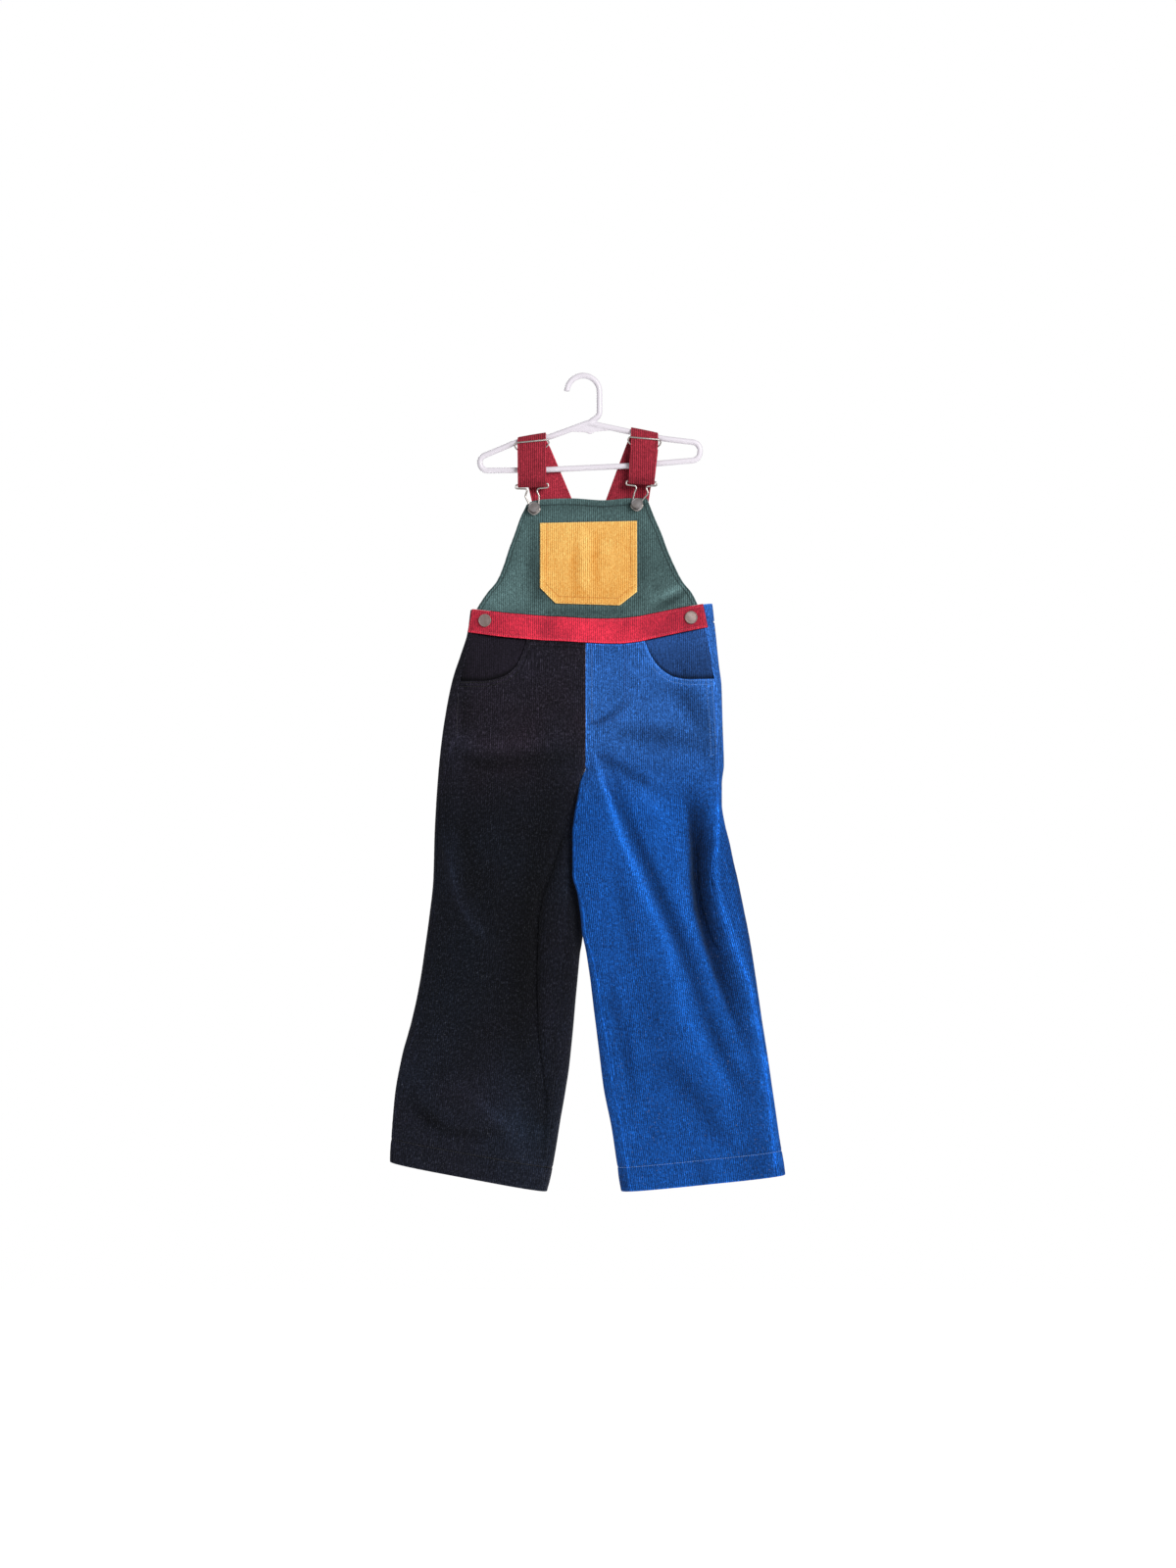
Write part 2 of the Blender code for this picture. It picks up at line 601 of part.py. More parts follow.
def bib_point(x, z):
    """The bib's outer side at a place on it, found by a few corrections."""
    u, v = np.full_like(x, 0.5), np.full_like(x, 0.5)
    for _ in range(25):
        at = bib_surface(u, v)
        u = np.clip(u + (x + CENTRE_X - at[..., 0]) / 190, 0.01, 0.99)
        v = np.clip(v - (z - at[..., 2]) / 150, 0.01, 0.99)
    return bib_surface(u, v)


def bib_pocket(name, colour):
    """A flat patch on the bib, its lower corners clipped."""
    across = np.linspace(POCKET_LEFT, POCKET_RIGHT, 9)
    across = np.unique(np.concatenate([across, POCKET_FOOT["x"]]))
    x, down = np.meshgrid(across, np.linspace(0, 1, 8))
    foot = np.interp(x, POCKET_FOOT["x"], POCKET_FOOT["z"])
    z = POCKET_TOP_Z + down * (foot - POCKET_TOP_Z)
    points = bib_point(x, z)
    near = points - np.array([0, GAP, 0])
    return wall(name, near - np.array([0, POCKET_CLOTH, 0]), near, colour)


def back_yoke(name, colour):
    """From the straps' ends down to the back panels, with a V between the straps."""
    inner_left, inner_right = STRAP_LEFT["yoke"][1], STRAP_RIGHT["yoke"][0]
    left, right = YOKE_SIDES["left"][-1], YOKE_SIDES["right"][-1]
    top_x = np.array([left, (left + inner_left) / 2, inner_left,
                      inner_left + 9, YOKE_NOTCH[0], inner_right - 9,
                      inner_right, (inner_right + right) / 2, right])
    fall = YOKE_NOTCH[1] - YOKE_TOP_Z
    top_z = YOKE_TOP_Z + fall * np.array([0, 0, 0, 0.5, 1, 0.5, 0, 0, 0])
    shares = (top_x - left) / (right - left)
    foot_v = BACK_TOP - 2 * SEAM_V
    foot_left, foot_right = YOKE_SIDES["left"][0], YOKE_SIDES["right"][0]
    foot_x = foot_left + shares * (foot_right - foot_left)
    foot_y, foot_z = back_at(foot_x, foot_v)
    rows = []
    for down in np.linspace(0, 1, 9):
        z = top_z + down * (foot_z - top_z)
        level = YOKE_TOP_Z + down * (foot_z.max() - YOKE_TOP_Z)
        edge_left = look(YOKE_SIDES, "left", level)
        edge_right = look(YOKE_SIDES, "right", level)
        x = edge_left + shares * (edge_right - edge_left)
        x = x + (1 - down) * (top_x - (left + shares * (right - left)))
        y = YOKE_TOP_Y + down * (foot_y - YOKE_TOP_Y)
        rows.append(np.stack([CENTRE_X + x, y, z], axis=-1))
    outer = np.array(rows)
    return wall(name, outer, outer - np.array([0, CLOTH, 0]), colour)


def strap(name, plan, colour):
    """One ribbon: yoke, over the hanger's arm, down, round the buckle's bar, up."""
    over = HANGER_TUBE / 2 + GAP + STRAP_CLOTH / 2
    front, behind = LOOP_Y - LAYER_OFF, LOOP_Y + LAYER_OFF
    back_y = YOKE_TOP_Y - CLOTH / 2
    arm_z, turn_z, slide_z = plan["arm_z"], plan["turn_z"], plan["slide_z"]
    line = []       # y, z, heading of the outward side, share of the way to each place
    for t in np.linspace(0, 1, 7):
        z = plan["yoke_z"] + t * (arm_z - plan["yoke_z"])
        line.append((back_y + t * (over - back_y), z, 0.0, ("yoke", "top", t)))
    for angle in np.radians(np.linspace(20, 130, 7)):
        line.append((over * math.cos(angle), arm_z + over * math.sin(angle), angle,
                     ("top", "top", 0)))
    fall_z = arm_z - 6.5
    line.append((front * 0.62 - over * 0.38, arm_z - 1.0, math.radians(160),
                 ("top", "turn", 0.02)))
    for t in np.linspace(0, 1, 6):
        z = fall_z + t * (turn_z - fall_z)
        line.append((front, z, math.pi, ("top", "turn", t)))
    for angle in np.radians(np.linspace(216, 360, 5)):
        line.append((LOOP_Y + LAYER_OFF * math.cos(angle), turn_z + LAYER_OFF * math.sin(angle),
                     angle, ("turn", "turn", 0)))
    for t in np.linspace(0.2, 1, 4):
        z = turn_z + t * (slide_z - SLIDER_DROP - 1.6 - turn_z)
        line.append((behind, z, 2 * math.pi, ("turn", "top", t)))
    outer, inner = [], []
    centre = {place: sum(plan[place]) / 2 for place in ("yoke", "top", "turn")}
    lean = {"yoke": 0.0, "top": plan["arm_slope"], "turn": plan["turn_slope"]}
    for y, z, heading, (a, b, t) in line:
        ends = [plan[a][k] + t * (plan[b][k] - plan[a][k]) for k in (0, 1)]
        slope = lean[a] + t * (lean[b] - lean[a])
        mid = centre[a] + t * (centre[b] - centre[a])
        across = np.linspace(ends[0], ends[1], 5)
        base = np.stack([CENTRE_X + across, np.full(5, y), z + slope * (across - mid)], axis=-1)
        normal = np.array([0, math.cos(heading), math.sin(heading)]) * STRAP_CLOTH / 2
        outer.append(base + normal)
        inner.append(base - normal)
    return wall(name, np.array(outer), np.array(inner), colour)


def rounded(corners, closed):
    """A path through corners (x, z, bend radius), each one turned on an arc."""
    path = []
    count = len(corners)
    for i, (x, z, radius) in enumerate(corners):
        here = Vector((x, z))
        if not closed and i in (0, count - 1):
            path.append(here)
            continue
        before = (Vector(corners[i - 1][:2]) - here).normalized()
        after = (Vector(corners[(i + 1) % count][:2]) - here).normalized()
        turn = math.pi - before.angle(after)
        reach = radius * math.tan(turn / 2)
        start, end = here + before * reach, here + after * reach
        centre = here + (before + after).normalized() * radius / math.cos(turn / 2)
        steps = max(1, round(turn / math.radians(22)))
        for k in range(steps + 1):
            spoke = (start - centre).lerp(end - centre, k / steps)
            path.append(centre + spoke.normalized() * radius)
    return path


def wire(name, path, diameter, sides_level, closed):
    """A tube along a path of 3-D points, as a mesh."""
    curve = bpy.data.curves.new(name, "CURVE")
    curve.dimensions = "3D"
    curve.bevel_depth = diameter / 2 * METRES
    curve.bevel_resolution = sides_level
    curve.use_fill_caps = not closed
    spline = curve.splines.new("POLY")
    spline.points.add(len(path) - 1)
    for point, place in zip(spline.points, path):
        point.co = (*(c * METRES for c in place), 1)
    spline.use_cyclic_u = closed
    guide = bpy.data.objects.new(name + "_guide", curve)
    bpy.context.scene.collection.objects.link(guide)
    shown = guide.evaluated_get(bpy.context.evaluated_depsgraph_get())
    mesh = bpy.data.meshes.new_from_object(shown)
    bpy.data.objects.remove(guide)
    return mesh


def hide(obj):
    obj.hide_render = True
    obj.display_type = "WIRE"


def join(target, tool):
    """Grow one object by another with a Boolean."""
    step = target.modifiers.new("join " + tool.name, "BOOLEAN")
    step.operation = "UNION"
    step.object = tool
    hide(tool)


def hanger(name, colour):
    """The closed frame, its hook and the thin web between its arms."""
    frame_path = [(CENTRE_X + p.x, 0, p.y) for p in rounded(FRAME_CORNERS, True)]
    frame = add_mesh(name, wire(name, frame_path, HANGER_TUBE, 1, True), colour)
    upright = (HOOK_CENTRE[0] + HOOK_RADIUS, HOOK_CENTRE[1])
    stem = rounded([(*HOOK_STEM, 0), HOOK_BEND, (*upright, 0)], False)
    hook = [(CENTRE_X + p.x, 0, p.y) for p in stem]
    for angle in np.linspace(0, HOOK_SWEEP, 13)[1:]:
        hook.append((CENTRE_X + HOOK_CENTRE[0] + HOOK_RADIUS * math.cos(angle), 0,
                     HOOK_CENTRE[1] + HOOK_RADIUS * math.sin(angle)))
    hook_tool = add_mesh("hook_tool", wire("hook_tool", hook, HANGER_TUBE, 2, False), colour)
    join(frame, hook_tool)
    bm = bmesh.new()
    back = [bm.verts.new(Vector((CENTRE_X + x, WEB_THICK / 2, z)) * METRES) for x, z in WEB]
    face = bm.faces.new(back)
    grown = bmesh.ops.extrude_face_region(bm, geom=[face])["geom"]
    moved = [g for g in grown if isinstance(g, bmesh.types.BMVert)]
    bmesh.ops.translate(bm, verts=moved, vec=(0, -WEB_THICK * METRES, 0))
    web_mesh = bpy.data.meshes.new("web_tool")
    bm.to_mesh(web_mesh)
    bm.free()
    join(frame, add_mesh("web_tool", web_mesh, colour))
    return frame


def turned(name, profile, segments, place, direction, colour):
    """A solid turned from (radius, height) points about an axis through a place."""
    points, faces = [], []
    for radius, height in profile:
        for k in range(segments):
            angle = 2 * math.pi * k / segments
            points.append((radius * math.cos(angle), radius * math.sin(angle), height))
    for r in range(len(profile) - 1):
        for k in range(segments):
            a, b = r * segments + k, r * segments + (k + 1) % segments
            faces.append((a, b, b + segments, a + segments))
    faces.append(tuple(range(segments - 1, -1, -1)))
    faces.append(tuple((len(profile) - 1) * segments + k for k in range(segments)))
    turn = Vector((0, 0, 1)).rotation_difference(Vector(direction)).to_matrix().to_4x4()
    move = Matrix.Translation(Vector(place)) @ turn
    mesh = bpy.data.meshes.new(name)
    mesh.from_pydata([[c * METRES for c in move @ Vector(p)] for p in points], [], faces)
    return add_mesh(name, mesh, colour)


def hook_button(name, key, colour):
    """A tack button on a neck, leaning up a little as the buckle pulls it."""
    x, z = BUTTON_SEATS[key]
    seat = bib_point(np.array([x]), np.array([z]))[0]
    direction = Vector((0, -math.cos(BUTTON_TILT), math.sin(BUTTON_TILT)))
    radius = HOOK_BUTTON / 2
    profile = [(4.2, 0.0), (4.2, 0.6), (2.6, 1.1), (2.6, 5.0), (radius - 1.0, 5.4),
               (radius, 6.1), (radius, 7.2), (radius - 0.9, 7.8), (radius - 2.2, 7.6)]
    place = Vector(seat) + Vector((0, -(GAP + 1.2), 0))
    return turned(name, profile, 20, place, direction, colour)


def side_button(name, key, colour):
    """A flat tack button on the waistband's end."""
    x, z = SIDE_BUTTON_SEATS[key]
    leg = LEGS[key]
    v = (leg.waist_z - z) / (leg.waist_z - leg.hem_z)
    for _ in range(6):
        q = leg.place(x, v)
        v += (leg.point(q, v)[2] - z) / 670
    seat, normal = leg.point(q, v), leg.normal(q, v)
    radius = SIDE_BUTTON / 2
    profile = [(2.6, 0.0), (2.6, 0.9), (radius - 0.8, 1.0), (radius, 1.6), (radius, 2.2),
               (radius - 0.9, 2.9), (radius - 2.4, 2.7)]
    place = Vector(seat) + Vector(normal) * (GAP + BAND_CLOTH + GAP)
    return turned(name, profile, 20, place, normal, colour)


def buckle(name, key, plan, colour):
    """Overall buckle bent from wire: a bar in the strap's loop, shoulders, a keyhole."""
    middle = sum(plan["turn"]) / 2
    half = (plan["turn"][1] - plan["turn"][0]) / 2
    top = plan["turn_z"]
    under = top - LAYER_OFF - STRAP_CLOTH / 2 - GAP - WIRE / 2 - 0.4
    seat_x, seat_z = BUTTON_SEATS[key]
    foot = seat_z - 5.4
    shift = seat_x - middle
    outline = [(-half - 2.0, top, 1.6), (half + 2.0, top, 1.6), (half + 2.6, under + 0.8, 1.9),
               (7.4, under, 1.8), (6.0, under - 2.6, 2.0), (8.6, under - 9.0, 4.0),
               (5.4 + shift, seat_z + 5.6, 3.0), (7.2 + shift, foot + 4.5, 3.0),
               (0 + shift, foot - 1.6, 5.0), (-7.2 + shift, foot + 4.5, 3.0),
               (-5.4 + shift, seat_z + 5.6, 3.0), (-8.6, under - 9.0, 4.0),
               (-6.0, under - 2.6, 2.0), (-7.4, under, 1.8), (-half - 2.6, under + 0.8, 1.9)]
    slope = plan["turn_slope"]
    path = []
    for p in rounded(outline, True):
        lean = slope * p.x if p.y > under - 1 else 0
        path.append((CENTRE_X + middle + p.x, LOOP_Y, p.y + lean))
    return add_mesh(name, wire(name, path, WIRE, 1, True), colour)


def slider(name, plan, colour):
    """Wire slider: its front bar before the strap, its back bar behind, pointed ends."""
    slide_z, slope = plan["slide_z"], plan["slide_slope"]
    share = (plan["arm_z"] - slide_z) / (plan["arm_z"] - plan["turn_z"])
    ends = [a + share * (b - a) for a, b in zip(plan["top"], plan["turn"])]
    middle, half = sum(ends) / 2, (ends[1] - ends[0]) / 2
    front = LOOP_Y - LAYER_OFF - STRAP_CLOTH / 2 - GAP - SLIDER_WIRE / 2 + 0.3
    half_ring = [(half + 0.4, front, 0.0), (half + 2.2, front + 1.2, -0.8),
                 (half + 3.6, (front + LOOP_Y) / 2, -3.0), (half + 2.2, LOOP_Y - 0.8, -6.0),
                 (half + 0.4, LOOP_Y, -SLIDER_DROP)]
    ring = half_ring + [(-x, y, z) for x, y, z in reversed(half_ring)]
    path = [(CENTRE_X + middle + x, y, slide_z + z + slope * x) for x, y, z in ring]
    return add_mesh(name, wire(name, path, SLIDER_WIRE, 1, True), colour)


def build():
    for obj in list(bpy.data.objects):
        bpy.data.objects.remove(obj)
    colours = {"left": "black_corduroy", "right": "blue_corduroy"}
    plans = {"left": STRAP_LEFT, "right": STRAP_RIGHT}
    hanger("hanger", "white_plastic")
    for key, leg in LEGS.items():
        front_panel("front_leg_" + key, leg, colours[key])
        back_panel("back_leg_" + key, leg, colours[key])
        pocket_facing("pocket_facing_" + key, leg, colours[key])
        strap("strap_" + key, plans[key], "red_corduroy")
        slider("slider_" + key, plans[key], "nickel")
        buckle("buckle_" + key, key, plans[key], "nickel")
        hook_button("hook_button_" + key, key, "nickel")
        side_button("side_button_" + key, key, "nickel")
    waistband("waistband", "red_corduroy")
    bib("bib", "green_corduroy")
    bib_pocket("bib_pocket", "yellow_corduroy")
    back_yoke("back_yoke", "red_corduroy")


build()
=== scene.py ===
"""Children's corduroy bib overalls on a plastic hanger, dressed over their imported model.

The garment faces -Y and hangs straight down from the origin, where its hanger's hook
rests. Shapes are worked out in millimetres and turned into metres when a mesh is made.
Left and right are those of someone who looks at the front.
"""

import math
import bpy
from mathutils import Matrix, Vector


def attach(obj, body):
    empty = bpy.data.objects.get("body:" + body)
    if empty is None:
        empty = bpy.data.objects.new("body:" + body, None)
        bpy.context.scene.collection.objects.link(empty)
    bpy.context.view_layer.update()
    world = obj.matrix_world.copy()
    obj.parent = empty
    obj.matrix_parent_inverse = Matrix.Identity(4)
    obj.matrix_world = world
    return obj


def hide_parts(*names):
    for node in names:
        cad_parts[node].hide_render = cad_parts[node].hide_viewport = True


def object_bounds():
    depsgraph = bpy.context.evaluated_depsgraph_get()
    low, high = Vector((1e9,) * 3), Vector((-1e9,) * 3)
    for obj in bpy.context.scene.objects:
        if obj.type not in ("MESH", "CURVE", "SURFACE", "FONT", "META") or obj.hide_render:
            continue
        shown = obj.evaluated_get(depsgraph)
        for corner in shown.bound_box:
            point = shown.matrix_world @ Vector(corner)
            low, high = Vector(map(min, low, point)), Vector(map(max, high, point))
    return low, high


bl_info = {
    "name": "Corduroy Bib Overalls",
    "version": (1, 0, 0),
    "blender": (4, 5, 0),
    "location": "3D View > Sidebar > Overalls",
    "description": "Cloth, stitching, metalwork and hanger of children's bib overalls",
    "category": "Add Mesh",
}

from types import SimpleNamespace

import bpy
import numpy as np
from mathutils import Matrix, Vector
from mathutils.bvhtree import BVHTree

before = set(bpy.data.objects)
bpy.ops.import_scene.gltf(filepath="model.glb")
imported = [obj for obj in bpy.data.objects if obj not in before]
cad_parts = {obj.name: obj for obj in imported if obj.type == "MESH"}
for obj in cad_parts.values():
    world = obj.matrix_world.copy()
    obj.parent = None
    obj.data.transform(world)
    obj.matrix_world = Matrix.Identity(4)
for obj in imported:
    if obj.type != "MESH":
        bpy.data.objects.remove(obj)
CAD_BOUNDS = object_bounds()

METRES = 0.001

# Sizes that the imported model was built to, mm.
CENTRE_X = 3.0
GAP = 0.3
CLOTH = 2.0
POCKET_CLOTH = 1.6
BAND_CLOTH = 2.2
STRAP_CLOTH = 2.2
HEM_CLOTH = 3.4
HEM_DEEP = 30.0
POCKET_EASE = 0.3
CROTCH_CLOTH = 1.1
CROTCH_THINS = 28.0
WAIST_CENTRE_Z = -326.5
HEM_CENTRE_Z = -998.5
CROTCH_Z = -480.0
SADDLE = 60.0
BAND_TOP = -0.0446
BACK_TOP = -0.0436
TUCK = 0.55
HANGER_TUBE = 7.2
WIRE = 2.2
SLIDER_WIRE = 2.0
SLIDER_DROP = 8.0
SIDE_BUTTON = 15.8
HOOK_BUTTON = 14.4


def table(columns, *rows):
    """A table with named columns, its rows sorted by the first of them."""
    values = np.array(sorted(rows), float)
    return {name: values[:, i] for i, name in enumerate(columns.split())}


def course(*numbers, skew=0.0):
    """A crease's line, by fours in its own order: place, half of its width and its depth.

    With a skew it is wider on the left of the way that it runs, and narrower on the right.
    """
    values = np.array(numbers, float).reshape(-1, 4)
    line = {name: values[:, i] for i, name in enumerate(("out", "z", "half", "deep"))}
    line["skew"] = skew
    return line


# Side of a leg: how far from the centre seam its silhouette and the front panel's
# seam are at each height.
LEFT_OUTER = table(
    "z edge seam",
    (-278, 140.5, 117), (-301, 143.5, 117), (-308, 144.5, 137), (-312, 145, 139.5),
    (-338, 153, 145), (-370, 163.5, 153.5), (-409, 171.5, 159.5), (-446, 177, 162),
    (-480, 180.5, 170), (-521, 183.5, 178.5), (-560, 185.5, 181.5), (-614, 187, 183),
    (-661, 192, 187), (-690, 196, 190), (-738, 203, 196), (-786, 213, 203),
    (-834, 226, 219), (-882, 234.5, 230), (-930, 238.5, 235), (-962.5, 240.5, 237))
RIGHT_OUTER = table(
    "z edge seam",
    (-276, 155.5, 122), (-297, 158, 122), (-303, 158.5, 143), (-307, 159, 146),
    (-354, 164, 155), (-378, 167, 158.5), (-426, 168.5, 161), (-474, 170, 162),
    (-498, 167.5, 162), (-522, 167.5, 162), (-546, 171, 163), (-570, 177, 161),
    (-594, 182, 156), (-615, 187, 154.5), (-642, 192.5, 161), (-690, 202, 177),
    (-738, 209.5, 199), (-786, 216.5, 210), (-834, 224, 218.5), (-882, 231, 224),
    (-930, 238, 229), (-978, 245.5, 234))
LEFT_INNER = table(
    "z edge seam",
    (-480, 0, 0), (-488, 4.2, 6), (-496, 6.6, 9.5), (-512, 8.5, 13), (-536, 11, 17),
    (-560, 12.5, 19), (-608, 12.5, 21.5), (-632, 8, 22), (-656, 4.5, 24),
    (-680, 3, 25.5), (-694, 4.5, 26.5), (-706, 6.6, 27), (-730, 9, 28.5),
    (-756, 11.4, 30), (-843, 19.8, 35.5), (-917, 31.8, 42), (-961, 39, 46.5),
    (-998.5, 47.4, 52.5))
RIGHT_INNER = table(
    "z edge seam",
    (-480, 0, 0), (-488, -4.3, -2), (-496, -7, -4), (-512, -9.4, -6.4),
    (-536, -13.8, -10.5), (-560, -16.2, -13), (-608, -16.2, -12.5), (-632, -10.2, -6.5),
    (-656, -6.6, -2.5), (-680, -4.2, 1), (-704, 0.6, 7), (-736, 5.4, 14),
    (-776, 10.2, 20), (-824, 16.2, 28.5), (-872, 22.2, 35.5), (-920, 31.8, 45),
    (-968, 39, 52), (-998.5, 43.8, 57))
DEPTH = table(
    "z front back nest_left nest_right",
    (-276, 12, 11, 0, 0), (-320, 12.5, 11.5, 0, 0), (-400, 15, 14, 0, 0),
    (-480, 17, 15, 0, 0), (-496, 17.5, 15, 4, -6), (-512, 18, 15, 7, -9),
    (-540, 18.5, 15, 9, -11), (-660, 19, 15, 9, -11), (-700, 18.5, 14.5, 7, -8),
    (-745, 18, 14, 0, 0), (-900, 17, 13, 0, 0), (-1000, 17, 13, 0, 0))
LEFT_DROP = table("out drop", (0, -1.4), (27, -0.3), (55, 1.2), (99, 1.8), (145, 0))
RIGHT_DROP = table(
    "out drop",
    (0, -1.4), (27, 3), (51, 5.5), (63, 5.5), (81, 4), (99, 2.3), (120, 0.4), (145, -1.7))
LEFT_SCOOP = table(
    "out z",
    (72.6, -326), (77.4, -338.4), (85.8, -355.2), (102.6, -367.2), (126.6, -372),
    (165, -372))
RIGHT_SCOOP = table(
    "out z",
    (73.8, -326), (78.6, -338.4), (93, -357.6), (109.8, -367.2), (129, -369.6),
    (170, -368.4))

# Where the wales that start in the middle of a leg run: upright to the crotch, then
# down the middle of the leg.
GRAIN_LINE = table("z out", (-270, 84), (-440, 86), (-560, 92), (-760, 114), (-1000, 143))

# Folds and creases: the line that each follows, half of its width, and its depth into
# the garment, less than nothing for a ridge.
FRONT_CREASES_LEFT = {
    "hip_ridge": course(20, -455, 11, -0.5,  90, -449, 13, -2.5,  165, -452, 12, -1.5),
    "hip_crease": course(10, -476, 10, 0.5,  70, -470, 12, 2.6,  150, -473, 12, 1.2),
    "thigh_ridge": course(117, -690, 13, -0.5,  138, -668, 11, -4.0,  154, -640, 9, -5.0,
        164, -602, 9, -4.4,  173, -570, 9, -2.0,  skew=0.3),
    "thigh_dent": course(98, -676, 16, 0.5,  122, -640, 16, 3.6,  140, -588, 15, 1.8),
    "inner_crease": course(20, -530, 5, 0.5,  30, -570, 5, 3.0,  40, -604, 6, 5.0,  52, -638, 7, 6.5,
        57, -668, 7, 7.0,  59, -740, 7, 7.0,  57, -804, 7, 5.0,  51, -870, 7, 1.5,  skew=0.45),
    "shin_ridge": course(82, -948, 14, -1.0,  107, -906, 15, -3.5,  153, -851, 15, -1.5),
    "shin_crease": course(172, -918, 8, 0.5,  186, -909, 8, 3.2,  216, -870, 9, 1.0),
    "low_side_crease": course(200, -750, 5, 0.6,  196, -780, 6, 2.4,  199, -820, 7, 1.4,
        214, -876, 8, 0.5),
    "hip_line": course(169, -452, 4, 0.8,  150, -459, 4.5, 2.0,  128, -468, 5, 1.8,  104, -476, 6, 0.5),
    "low_crease": course(212, -888, 4, 0.4,  196, -908, 4.5, 2.2,  168, -922, 5, 2.0,  134, -928, 5, 1.4,
        104, -922, 6, 0.3),
    "low_ridge": course(152, -860, 5, -0.4,  130, -884, 6, -2.0,  104, -908, 6, -1.8,
        92, -918, 6, -0.4),
    "low_inner_fold": course(50, -830, 4, 0.4,  49, -880, 4, 2.4,  52, -930, 4, 2.0,  56, -966, 4, 0.5),
}
FRONT_CREASES_RIGHT = {
    "side_fold": course(126, -520, 11, 0.5,  130, -548, 11, 5.0,  132, -576, 11, 9.5,
        133, -614, 11, 11.0,  137, -648, 11, 10.5,  146, -684, 11, 9.0,  159, -726, 11, 6.5,
        176, -772, 11, 3.6,  193, -815, 10, 1.0,  skew=0.65),
    "long_ridge": course(10, -460, 4, -0.5,  17, -486, 4.5, -2.4,  27, -516, 5, -3.4,  42, -560, 6, -3.8,
        59, -600, 7, -3.8,  75, -634, 8, -3.8,  98, -684, 9, -4.2,  122, -738, 11, -4.0,
        138, -791, 12, -3.2,  156, -846, 12, -2.4,  178, -898, 12, -0.8,  skew=-0.25),
    "thigh_ridge": course(58, -492, 8, -0.5,  80, -511, 9, -2.0,  100, -540, 11, -3.6,
        113, -584, 12, -4.2,  115, -625, 11, -4.2,  127, -668, 11, -4.0,  148, -725, 11, -3.2,
        164, -770, 10, -1.6,  180, -830, 9, -0.4),
    "crotch_crease": course(16, -448, 5, 0.5,  25, -466, 6, 2.2,  37, -497, 6, 2.8,  49, -530, 7, 3.0,
        64, -571, 8, 2.6,  82, -612, 9, 2.6,  101, -662, 10, 2.8,  128, -715, 10, 2.6,
        146, -768, 10, 1.6,  160, -810, 9, 0.4),
    "hip_crease": course(44, -438, 9, 0.8,  84, -446, 12, 3.2,  112, -446, 12, 3.0,  140, -452, 11, 1.2),
    "pocket_crease": course(106, -382, 7, 0.4,  124, -404, 8, 2.0,  136, -432, 8, 1.8,
        146, -462, 7, 0.6),
    "fly_crease": course(3, -422, 2.6, 1.0,  16, -422, 3, 1.5,  30, -412, 4, 1.2,  44, -400, 5, 0.3),
    "under_hip_crease": course(62, -476, 7, 0.4,  96, -484, 8, 2.2,  130, -487, 8, 0.8),
    "side_dent": course(100, -498, 8, 0.4,  122, -510, 9, 2.4,  140, -526, 9, 1.6),
    "knee_dent": course(58, -690, 20, 0.6,  76, -760, 24, 3.0,  96, -850, 26, 2.6,  112, -900, 20, 0.6),
    "low_side_crease": course(196, -800, 6, 0.6,  205, -842, 7, 2.2,  212, -880, 8, 1.6,
        218, -935, 8, 0.4),
    "inner_strip_ridge": course(16, -700, 5, -0.4,  24, -756, 6, -1.4,  38, -828, 6, -1.4,
        54, -930, 6, -0.4),
    "pocket_pull": course(84, -366, 5, 0.2,  72, -388, 7, 1.0,  66, -416, 9, 0.2),
    "pocket_dent": course(113, -352, 5, 1.0,  119, -362, 6, 2.4,  122, -372, 6, 0.6),
    "hip_curve": course(18, -462, 5, 0.5,  40, -476, 6, 2.0,  66, -492, 7, 2.6,  84, -504, 8, 1.0),
    "inner_fold": course(53, -770, 4, 0.4,  52, -800, 4, 2.2,  55, -840, 4.5, 2.4,  60, -880, 5, 0.6),
}
BACK_CREASES = {
    "seat_crease": course(12, -492, 11, 1.0,  62, -472, 13, 3.5,  120, -462, 13, 1.5),
    "thigh_ridge": course(60, -560, 16, -1.5,  84, -640, 18, -4.0,  120, -730, 18, -2.0),
    "knee_crease": course(168, -640, 11, 1.0,  150, -700, 12, 4.5,  158, -790, 12, 3.0,
        172, -870, 12, 0.8),
    "shin_dent": course(78, -800, 22, 1.0,  96, -880, 24, 3.0,  120, -940, 22, 1.0),
    "crotch_crease": course(4, -470, 4, 0.5,  22, -502, 6, 1.6,  46, -548, 9, 0.4),
}

